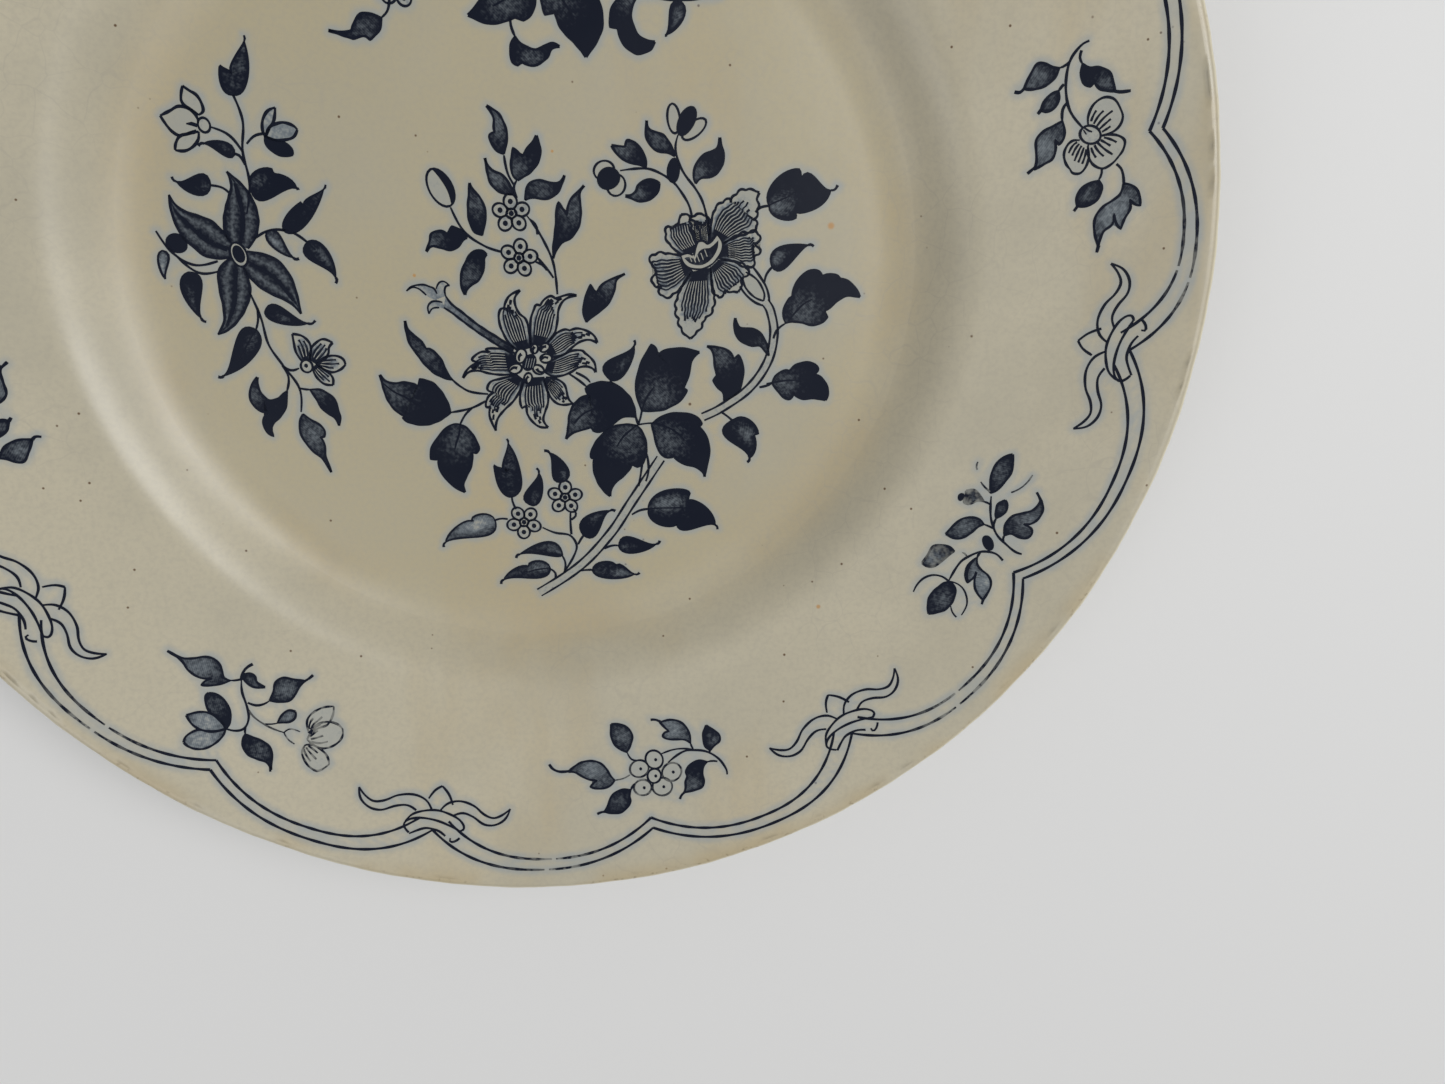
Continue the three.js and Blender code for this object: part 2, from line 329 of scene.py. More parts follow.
class Transfer:
    """One printed paper: films of colour drawn flat, and laid on the front of the plate."""

    def __init__(self, place=None):
        self.place = place or (lambda points: points)
        self.verts, self.faces = [], []
        self.ink, self.hatch, self.worn = [], [], []
        self.count = 0
        self.layer = 0

    def film(self, left, right, columns, ink, hatch=0.0, lift=FILL_LIFT, worn=0.0, spacing=0.6):
        """A thin closed film between two sides. ink and hatch are numbers, or functions of how far
        along (0 to 1) and how far across (-1 to 1) a point is, and of its place. The sides change
        places where they would turn the film inside out."""
        length = max(np.linalg.norm(np.diff(side, axis=0), axis=1).sum() for side in (left, right))
        rows = max(4, round(length / spacing))
        if columns == 1:
            rows = len(left)
        left, right = resampled(left, rows), resampled(right, rows)
        rim = np.vstack([left, right[::-1]])
        ahead = np.roll(rim, -1, axis=0)
        if (rim[:, 0] * ahead[:, 1] - rim[:, 1] * ahead[:, 0]).sum() > 0:
            left, right = right, left
        apart = right - left
        thin = np.linalg.norm(apart, axis=1) < LEAST_WIDTH
        apart = np.where(thin[:, None], -leftward(left + right) * LEAST_WIDTH, apart)
        share = np.linspace(0, 1, columns + 1)
        flat = left[:, None, :] + apart[:, None, :] * share[None, :, None]
        plan = self.place(flat.reshape(-1, 2))
        height = front_height(plan[:, 0], plan[:, 1])
        top = np.column_stack([plan, height + lift + self.layer * LAYER_LIFT])
        bottom = np.column_stack([plan, height - FILM_DEPTH])
        size = rows * (columns + 1)
        index = np.arange(size).reshape(rows, columns + 1) + self.count
        a, b = index[:-1, :-1].ravel(), index[:-1, 1:].ravel()
        c, d = index[1:, 1:].ravel(), index[1:, :-1].ravel()
        loop = np.concatenate([index[0, :-1], index[:-1, -1], index[-1, :0:-1], index[:0:-1, 0]])
        after = np.roll(loop, -1)
        self.faces += np.stack([a, b, c, d], 1).tolist()
        self.faces += (np.stack([d, c, b, a], 1) + size).tolist()
        self.faces += np.stack([after, loop, loop + size, after + size], 1).tolist()
        self.verts += [top, bottom]
        self.count += 2 * size
        u = np.repeat(np.linspace(0, 1, rows), columns + 1)
        v = np.tile(np.linspace(-1, 1, columns + 1), rows)
        for store, value in ((self.ink, ink), (self.hatch, hatch), (self.worn, worn)):
            level = value(u, v, flat.reshape(-1, 2)) if callable(value) else np.full(size, float(value))
            store += [level, level]

    def stroke(self, line, width=LINE, ends=(0.7, 0.7), ink=1.0, lift=LINE_LIFT, worn=0.0):
        """An engraved line, a little uneven, that thins towards its ends."""
        line = joined(line)
        normal = leftward(line)
        t = np.linspace(0, 1, len(line))
        taper = np.interp(t, [0, 0.15, 0.85, 1], [ends[0], 1, 1, ends[1]])
        wobble = 1 + 0.14 * np.sin(rng.uniform(0, 6) + np.arange(len(line)) * rng.uniform(0.5, 0.9))
        half = (0.5 * width * taper * wobble)[:, None]
        self.film(line + normal * half, line - normal * half, 1, ink, 0.0, lift, worn)

    def stem(self, *points, width=LINE * 1.1, worn=0.0):
        """A stalk through given points."""
        self.stroke(smooth_line(points), width, (0.9, 0.6), worn=worn)

    def double_stem(self, *points, gap=1.7):
        """A thick stalk: two lines with pale colour between them."""
        line = smooth_line(points)
        normal = leftward(line)
        left, right = line + normal * gap / 2, line - normal * gap / 2
        self.film(left, right, 2, 0.1)
        self.stroke(left, LINE * 1.1)
        self.stroke(right, LINE * 1.1)

    def leaf(self, base, tip, width, left=None, right=None, bend=0.0, shade=0.97, light=None, tail=1.1,
             vein=None, sway=None):
        """A filled leaf. left and right are its pointed lobes, light is where its pale patch lies (0 at
        the base, 1 at the tip), vein says whether its middle vein shows, as it does on a long leaf, and
        sway curls its tip."""
        length = np.linalg.norm(np.subtract(tip, base))
        vein = length > VEINED_LENGTH if vein is None else vein
        turn = rng.choice([-1, 1]) if sway is None else math.copysign(1, sway)
        curl = 0.26 * width * turn if sway is None else 1.3 * sway
        side_left = leaf_side(base, tip, width / 2 + bend, left, curl)
        side_right = leaf_side(base, tip, -width / 2 + bend, right, curl)
        glow = rng.uniform(0.1, 0.8) if light is None else light
        deep = 0.28 if light is None else 0.44

        def ink(u, v, at):
            patch = np.exp(-(((u - glow) / 0.27) ** 2) - ((v - 0.3 * turn) / 0.65) ** 2)
            return np.clip(shade - deep * patch + 0.14 * np.abs(v) ** 3, 0, 1)

        def hatch(u, v, at):
            return 0.7 * u * length + 0.35 * np.abs(v) * width

        self.film(side_left, side_right, columns_over(width), ink, hatch)
        self.stroke(side_left)
        self.stroke(side_right)
        if vein:
            self.stroke(across(side_left, side_right, 0, 0.02, 0.66), LINE * 0.7, (1, 0.3))
        if tail:
            along = np.subtract(tip, across(side_left, side_right, 0, 0.85, 1, 3)[0])
            reach = along / np.linalg.norm(along) * tail
            end = np.add(tip, turned_by(reach, 25 * turn))
            self.stroke(smooth_line([tip, np.add(tip, reach * 0.5), end], FINE_STEP), LINE * 1.2, (0.9, 1.1))

    def forked(self, base, tip, second, width, shade=0.95, depth=0.5):
        """A leaf with two points: the line between them runs in to a notch."""
        base, tip, second = (np.array(p, float) for p in (base, tip, second))
        notch = base + (0.5 * (tip + second) - base) * depth
        turn = np.cross(tip - base, second - base)
        side = math.copysign(1, turn)
        inner = joined(
            bulge(base, second, side * width * 0.26, 0.6),
            bulge(second, notch, -side * width * 0.03),
            bulge(notch, tip, side * width * 0.14, 1.0, side * width * 0.05),
        )
        outer = bulge(base, tip, -side * width * 0.4, 1.0, side * width * 0.12)
        sides = (inner, outer) if side > 0 else (outer, inner)

        def ink(u, v, at):
            return np.clip(shade - 0.12 * u + 0.1 * np.abs(v), 0, 1)

        length = np.linalg.norm(tip - base)
        self.film(*sides, columns_over(width), ink, lambda u, v, at: 0.8 * u * length)
        self.stroke(inner)
        self.stroke(outer)
        along = (tip - base) / length
        self.stroke([tip, tip + along * 0.5, tip + turned_by(along, 15 * side)], LINE * 1.1)

    def oval(self, centre, length, width, degrees=90.0, ink=1.0, outline=True, worn=0.0, lift=FILL_LIFT):
        """A filled oval that lies at an angle."""
        turn = np.linspace(0, math.pi, 13)
        ends = np.stack([-np.cos(turn) * length / 2, np.sin(turn) * width / 2], 1)
        a = math.radians(degrees)
        spin = np.array([[math.cos(a), math.sin(a)], [-math.sin(a), math.cos(a)]])
        left = ends @ spin + centre
        right = (ends * (1, -1)) @ spin + centre
        self.film(left, right, columns_over(width, 2), ink, 0.0, lift, worn, FINE_STEP)
        if outline:
            self.stroke(joined(left, right[::-1]), LINE, (1, 1), worn=worn)

    def berries(self, centre, turn=0.0):
        """Five berries round a smaller one, each a ring with a seed in it."""
        for k in range(6):
            reach, radius = (2.15, 1.3) if k < 5 else (0.0, 0.9)
            a = math.radians(turn + 72 * k)
            middle = np.add(centre, (reach * math.cos(a), reach * math.sin(a)))
            self.oval(middle, 2.15 * radius, 1.9 * radius, turn + 72 * k, ink=0.16)
            self.oval(middle, 1.05, 1.0, outline=False, lift=RAY_LIFT)

    def petal(self, left, right, rays, dark=0.92, pale=0.06, reach=0.68, dashes=True):
        """A petal between two outlines from its base: dark and finely lined at its base, and pale with
        the dark ends of its lines towards its tip."""

        def ink(u, v, at):
            fade = np.clip((u + 0.1 * v * v - 0.24) / (reach - 0.16), 0, 1)
            margin = 0.9 * np.clip((np.abs(v) - 0.56) / 0.3, 0, 1) * np.clip(u * 5, 0, 1)
            return pale + (dark - pale) * (1 - fade) * (1 - margin)

        self.film(left, right, columns_over(widest(left, right), 5, 0.5), ink, spacing=0.45)
        for k in range(rays):
            share = -0.74 + 1.48 * (k + 0.5) / rays
            pale_line = across(left, right, share + 0.7 / rays, 0.14, rng.uniform(0.45, 0.58))
            self.stroke(pale_line, 0.15, ink=0.16, lift=RAY_LIFT)
            end = reach * rng.uniform(0.86, 1.1) - 0.12 * abs(share)
            self.stroke(across(left, right, share, 0.12, end), 0.3, (0.6, 1.5), lift=RAY_LIFT)
            if dashes and k % 2:
                start = end + rng.uniform(0.04, 0.07)
                dash = across(left, right, share * 0.8, start, start + rng.uniform(0.07, 0.12), 4)
                self.stroke(dash, 0.5, (0.8, 1), lift=RAY_LIFT)
        self.stroke(left, LINE * 1.15, (0.7, 1.0))
        self.stroke(right, LINE * 1.15, (0.7, 1.0))

    def broad_leaf(self, left, right, tail=None, light=(0.5, 0.0), shade=0.99, vein=None, worn=0.0):
        """A filled leaf between two outlines from its base to its tip, drawn out in a tail. light says
        where its pale patch lies: 0 to 1 from base to tip, and -1 to 1 from left to right."""
        length = np.linalg.norm(left[-1] - left[0])
        patch = across(left, right, light[1], 0, 1, 41)[round(40 * light[0])]

        def ink(u, v, at):
            away = np.linalg.norm(at - patch, axis=1) / (0.3 * length + 0.6)
            return np.clip(shade - 0.34 * np.exp(-(away**2)) + 0.06 * np.abs(v) ** 3, 0, 1)

        columns = columns_over(widest(left, right), 4, 0.7)
        self.film(left, right, columns, ink, lambda u, v, at: at.sum(1) * 0.7, worn=worn, spacing=0.45)
        self.stroke(left, LINE * 1.1, (0.8, 1.1), worn=worn)
        self.stroke(right, LINE * 1.1, (0.8, 1.1), worn=worn)
        if tail:
            self.stroke(smooth_line(tail, 0.3), LINE * 1.3, (1.1, 0.9))
        if vein:
            self.stroke(smooth_line(vein), LINE * 0.9, (1, 0.5))

    def open_petal(self, left, right, rays, worn=0.0):
        """A pale outlined petal with short dark lines that spread from its base."""
        self.film(left, right, columns_over(widest(left, right), 4), 0.04)
        for k in range(rays):
            share = -0.8 + 1.6 * (k + 0.5) / rays
            ray = across(left, right, share, 0.12, rng.uniform(0.46, 0.62) - 0.16 * abs(share))
            self.stroke(ray, 0.4, (1.0, 0.9), lift=RAY_LIFT, worn=worn)
        self.stroke(left, LINE * 1.05, worn=worn)
        self.stroke(right, LINE * 1.05, worn=worn)

    def arrays(self):
        """All vertices, and the attributes that the print material reads."""
        attributes = {
            "ink": np.concatenate(self.ink),
            "hatch": np.concatenate(self.hatch),
            "worn": np.concatenate(self.worn),
        }
        return np.vstack(self.verts), attributes


# ---- The bouquet in the well ----


def draw_lily(paper):
    """An open lily with eight pointed petals, seen from the front, and a trumpet bud behind it."""
    tube_top = outline([(-3.4, -14.8), (-6.2, -12.9), (-10.1, -10.3), (-13.2, -7.7), (-14.9, -6.3),
                        (-15.9, -4.8)])
    tube_under = outline([(-3.8, -16.0), (-6.6, -14.2), (-10.2, -11.7), (-13.3, -9.3), (-14.9, -8.0),
                          (-16.4, -7.0)])
    paper.film(tube_top, tube_under, 3, lambda u, v, at: 0.8 - 0.42 * u)
    for left, right in (
        ([(-15.9, -4.8), (-16.0, -3.6), (-15.6, -2.9), (-15.0, -2.9)],
         [(-17.5, -5.4), (-17.6, -3.6), (-16.9, -2.3), (-16.0, -2.1), (-15.0, -2.9)]),
        ([(-17.5, -4.4), (-18.0, -3.4), (-18.7, -3.1), (-20.0, -2.7), (-22.0, -3.0), (-23.2, -3.9)],
         [(-17.6, -5.6), (-19.0, -5.1), (-20.2, -4.0), (-21.0, -3.4), (-22.1, -3.2), (-23.2, -3.9)]),
        ([(-16.6, -6.0), (-17.6, -5.8), (-18.6, -5.9), (-19.4, -6.8), (-19.3, -8.2)],
         [(-16.0, -7.3), (-17.5, -7.0), (-18.6, -7.2), (-19.3, -8.2)]),
    ):
        sides = outline(left), outline(right)
        paper.film(*sides, 3, lambda u, v, at: 0.36 - 0.2 * u)
        paper.stroke(sides[0], LINE * 0.9)
        paper.stroke(sides[1][len(sides[1]) // 3 :], LINE * 0.8)
    paper.stroke(tube_top, LINE * 1.2)
    paper.stroke(tube_under, LINE * 1.1)
    for left, right in LILY_PETALS:
        paper.petal(outline(*left), outline(*right), 7)
    paper.layer = 1
    for spot, size, degrees in (
        ((-2.2, -16.3), 2.9, 70), ((-3.4, -18.8), 2.6, 15), ((0.5, -14.9), 1.9, 80), ((2.5, -14.7), 2.1, 35),
        ((2.7, -16.8), 2.3, 10), ((1.1, -19.0), 2.3, 150), ((-1.0, -20.7), 2.1, 75),
    ):
        paper.oval(spot, size, size * 0.74, degrees, ink=0.03)
        comma = [np.add(spot, turned_by(step, degrees)) for step in ((-1.1, -0.1), (-0.3, 0.3), (0.4, 0.0))]
        paper.stroke(smooth_line(comma, 0.25), 0.5, (0.5, 1.3))
    paper.oval((-0.6, -17.6), 3.6, 2.6, 60, ink=0.93, outline=False)
    for k in range(4):
        paper.stroke([(-1.5 + 0.5 * k, -18.6), (-1.0 + 0.5 * k, -16.8)], 0.16, ink=0.25)
    paper.layer = 0


# The lily's petals: two outlines for each, both from its base to its tip.
LILY_PETALS = [
    ([[(-2.6, -15.4), (-4.6, -13.4), (-5.6, -11.3), (-5.85, -10.6)],
      [(-6.05, -8.6), (-5.6, -7.3), (-4.9, -7.1)], [(-4.6, -6.0), (-3.7, -4.7), (-1.7, -3.7)]],
     [[(-0.3, -14.8), (-0.4, -11.4), (-0.9, -9.2), (-2.1, -8.1), (-2.75, -6.6), (-2.8, -5.2),
       (-1.7, -3.7)]]),
    ([[(-0.1, -14.6), (-0.1, -11.4), (0.1, -9.1), (0.8, -7.3), (1.2, -6.5), (2.0, -6.6)],
      [(2.8, -5.5), (4.1, -4.8), (5.0, -5.3)], [(6.4, -4.8), (7.8, -4.5), (9.1, -4.7)]],
     [[(2.4, -14.2), (4.5, -12.0), (5.2, -9.5), (5.5, -7.4), (6.4, -5.8), (7.7, -5.0), (9.1, -4.7)]]),
    ([[(2.4, -14.9), (4.7, -12.1), (6.5, -11.2), (7.5, -11.4)],
      [(9.0, -11.0), (10.9, -11.5), (12.2, -12.4), (12.8, -13.8)]],
     [[(3.4, -16.6), (6.1, -16.1), (7.7, -14.8), (9.4, -13.6), (11.2, -13.2), (12.8, -13.8)]]),
    ([[(3.0, -17.4), (4.4, -16.9), (6.3, -16.0), (8.0, -15.3), (9.8, -15.3), (10.3, -15.8)],
      [(11.4, -16.7), (12.2, -17.9), (12.3, -19.6)]],
     [[(2.2, -19.4), (3.8, -20.3), (5.7, -20.2), (7.5, -19.5), (8.8, -18.7), (10.4, -18.4), (11.7, -18.8),
       (12.3, -19.6)]]),
    ([[(2.5, -20.5), (4.6, -20.9), (6.0, -21.9), (6.5, -23.6)], [(6.8, -24.9), (7.6, -25.8)]],
     [[(2.0, -21.0), (2.8, -23.6), (3.8, -25.2), (5.2, -26.0), (7.6, -25.8)]]),
    ([[(2.0, -20.4), (2.7, -23.1), (2.7, -25.5), (2.0, -27.5), (1.6, -29.1), (2.5, -30.6)]],
     [[(-1.4, -20.6), (-2.6, -23.4), (-2.8, -25.4), (-2.5, -26.7)],
      [(-1.7, -26.3), (-1.5, -27.8), (-0.7, -29.2), (0.7, -30.4), (2.5, -30.6)]]),
    ([[(-2.0, -20.8), (-2.8, -23.2), (-4.1, -25.2), (-5.9, -26.9), (-7.2, -28.4), (-7.8, -29.8),
       (-7.9, -31.2)]],
     [[(-3.0, -20.0), (-6.5, -20.8), (-8.4, -21.4), (-9.1, -22.9), (-7.8, -23.5)],
      [(-8.9, -24.2), (-9.6, -25.8), (-9.4, -26.5), (-8.7, -26.2)],
      [(-9.0, -28.0), (-8.5, -29.8), (-7.9, -31.2)]]),
    ([[(-3.2, -19.8), (-6.0, -20.0), (-8.6, -19.7), (-10.4, -19.2), (-12.2, -19.3), (-13.7, -20.6)]],
     [[(-2.8, -16.0), (-5.4, -15.0), (-8.9, -14.9), (-8.1, -15.6)],
      [(-9.8, -15.5), (-11.3, -16.4), (-11.7, -17.1), (-10.0, -17.6)],
      [(-11.5, -18.0), (-12.8, -19.0), (-13.7, -20.6)]]),
]


def draw_orchid(paper):
    """A ruffled flower with a pale lip, and two buds on the stalks above it."""
    for left, right in ORCHID_PETALS:
        sides = ruffled(outline(*left), 0.45), ruffled(outline(*right), -0.45)
        paper.petal(*sides, 9, 0.92, 0.05, 0.72, False)
    paper.layer = 1
    lip_under = outline([(29.3, 2.9), (30.1, 1.1), (31.6, 0.4), (33.5, 0.4), (35.4, 1.3), (36.8, 3.0),
                         (37.4, 4.9), (36.3, 6.8)])
    lip_top = outline([(29.3, 2.9), (30.7, 3.3), (31.8, 2.8)], [(32.1, 4.1), (32.6, 5.5)],
                      [(33.5, 5.6), (34.4, 5.0)], [(35.3, 5.6), (36.3, 6.8)])
    paper.film(lip_under, lip_top, 5, 0.04)
    paper.stroke(lip_under, LINE * 0.8)
    paper.stroke(lip_top)
    paper.layer = 2
    throat_under = outline([(30.0, 2.4), (31.3, 1.3), (33.4, 1.1), (35.2, 2.2), (36.4, 4.2), (36.5, 5.7)])
    throat_top = outline([(30.0, 2.4), (30.9, 2.6), (32.1, 2.1)],
                         [(32.9, 3.7), (33.8, 4.2), (34.9, 4.3), (36.5, 5.7)])
    paper.film(throat_under, throat_top, 4, lambda u, v, at: 0.7 + 0.25 * u)
    for k in range(5):
        foot = np.array((31.4 + 0.75 * k, 1.6 + 0.12 * (k - 1) ** 2))
        paper.stroke([foot, foot + (-0.5, 1.3)], 0.26, ink=0.05)
    paper.layer = 0
    paper.stem((34.7, 6.4), (34.3, 9.9), (33.4, 13.0), (32.0, 15.3), (30.2, 17.5), (29.1, 19.5),
               (28.4, 22.2), (28.9, 24.6))
    paper.stem((31.5, 9.8), (30.9, 12.1), (29.5, 14.4), (28.0, 16.2), (25.7, 17.7), (23.0, 18.6),
               (18.0, 18.2))
    paper.oval((28.0, 18.3), 4.2, 2.1, 85)
    paper.oval((28.1, 27.4), 5.2, 2.3, 96, ink=0.04)
    paper.oval((31.9, 25.6), 5.4, 2.5, 38, ink=0.04)
    paper.oval((15.0, 18.2), 3.9, 3.4, 20, ink=0.04)
    paper.oval((17.2, 15.6), 3.9, 3.4, 70, ink=0.04)
    paper.layer = 1
    paper.oval((30.5, 27.0), 5.4, 2.7, 62)
    paper.oval((15.8, 16.8), 4.1, 3.6, 30)
    paper.layer = 0


# The orchid's petals, in the same way as the lily's.
ORCHID_PETALS = [
    ([[(32.4, 4.6), (31.7, 7.2), (31.4, 9.4)], [(32.1, 10.2), (33.0, 10.6)]],
     [[(34.7, 4.5), (34.7, 6.4), (34.6, 8.2), (34.1, 9.9), (33.0, 10.6)]]),
    ([[(30.4, 2.8), (28.6, 3.6), (27.3, 4.9), (26.6, 6.6), (26.9, 7.9)],
      [(28.4, 7.9), (29.0, 8.9), (29.4, 10.4)]],
     [[(33.6, 4.2), (33.2, 6.0), (32.4, 8.0), (31.4, 9.2)], [(30.4, 10.2), (29.4, 10.4)]]),
    ([[(31.6, 0.0), (29.6, -2.8), (27.6, -4.4), (26.1, -4.8), (25.4, -4.0), (25.6, -2.7)],
      [(24.2, -2.6), (23.8, -1.6), (24.6, -0.4)]],
     [[(30.2, 2.4), (28.5, 3.0), (25.6, 3.1), (24.0, 2.7), (23.6, 1.6), (24.4, 0.6), (24.6, -0.4)]]),
    ([[(35.0, 0.6), (35.4, -2.4), (35.7, -4.5), (35.5, -6.7), (34.5, -8.6)],
      [(33.8, -8.8), (33.2, -10.4), (31.2, -13.0)]],
     [[(31.2, -0.2), (29.5, -3.0), (28.6, -5.6), (28.5, -7.7), (29.0, -9.3)],
      [(29.3, -10.6), (30.2, -12.2), (31.2, -13.0)]]),
    ([[(36.4, 1.9), (39.0, 1.9), (41.0, 1.3), (42.1, 0.2), (41.9, -0.9), (40.7, -1.1)],
      [(41.0, -2.6), (40.5, -4.0)]],
     [[(35.2, 0.8), (35.2, -1.6), (35.6, -3.6), (36.8, -4.9)],
      [(37.5, -4.0), (38.2, -3.5), (39.1, -3.8), (40.5, -4.0)]]),
    ([[(37.0, 4.6), (39.9, 6.5), (42.2, 7.0), (43.7, 7.1), (44.4, 6.3), (43.6, 4.8)]],
     [[(36.6, 2.4), (39.5, 1.8), (41.6, 1.0), (43.0, 1.1)], [(43.5, 1.9), (42.9, 2.8)],
      [(44.2, 3.3), (44.5, 4.1), (43.6, 4.8)]]),
    ([[(35.0, 5.6), (35.05, 7.9), (35.5, 10.4), (36.6, 12.1), (38.6, 13.0)],
      [(38.9, 12.5), (40.0, 14.1), (42.0, 14.9), (44.3, 14.5)]],
     [[(37.0, 5.0), (40.0, 6.3), (42.4, 7.2)], [(43.5, 7.9), (43.8, 8.8), (42.9, 9.3)],
      [(43.4, 9.9), (43.95, 11.9), (43.8, 13.4), (44.3, 14.5)]]),
]


def draw_bouquet(paper):
    """The large spray in the middle of the well."""
    draw_stalks(paper)
    draw_big_leaves(paper)
    draw_right_leaves(paper)
    draw_berry_sprays(paper)
    draw_foot_of_bouquet(paper)
    draw_orchid(paper)
    draw_lily(paper)


def draw_stalks(paper):
    """The thick stalks that carry the bouquet."""
    paper.double_stem((-0.9, -66.0), (8.0, -60.0), (14.5, -53.0), (18.8, -46.5), (21.8, -42.0), (25.0, -37.2))
    paper.stem((20.4, -43.0), (21.1, -39.0), (21.2, -36.5))
    paper.stem((21.9, -42.0), (22.5, -39.4), (22.1, -35.8))
    paper.double_stem((33.6, -28.7), (37.5, -26.8), (43.0, -22.8), (46.6, -17.5), (47.7, -12.0),
                      (46.9, -7.6), (45.8, -5.9), gap=1.5)
    paper.stem((40.8, -2.9), (42.0, -4.5), (43.7, -5.9), (45.4, -6.6))
    paper.stem((43.1, 1.0), (44.7, -1.0), (46.1, -3.3), (46.7, -5.9))
    bract_under = outline([(41.3, -1.2), (41.9, -3.1), (43.6, -4.9), (45.5, -5.7)])
    bract_top = outline([(41.9, -0.2), (44.2, -1.7), (45.6, -4.2), (45.5, -5.7)])
    paper.film(bract_under, bract_top, 3, 0.04)
    paper.stroke(bract_under)
    paper.stroke(bract_top)


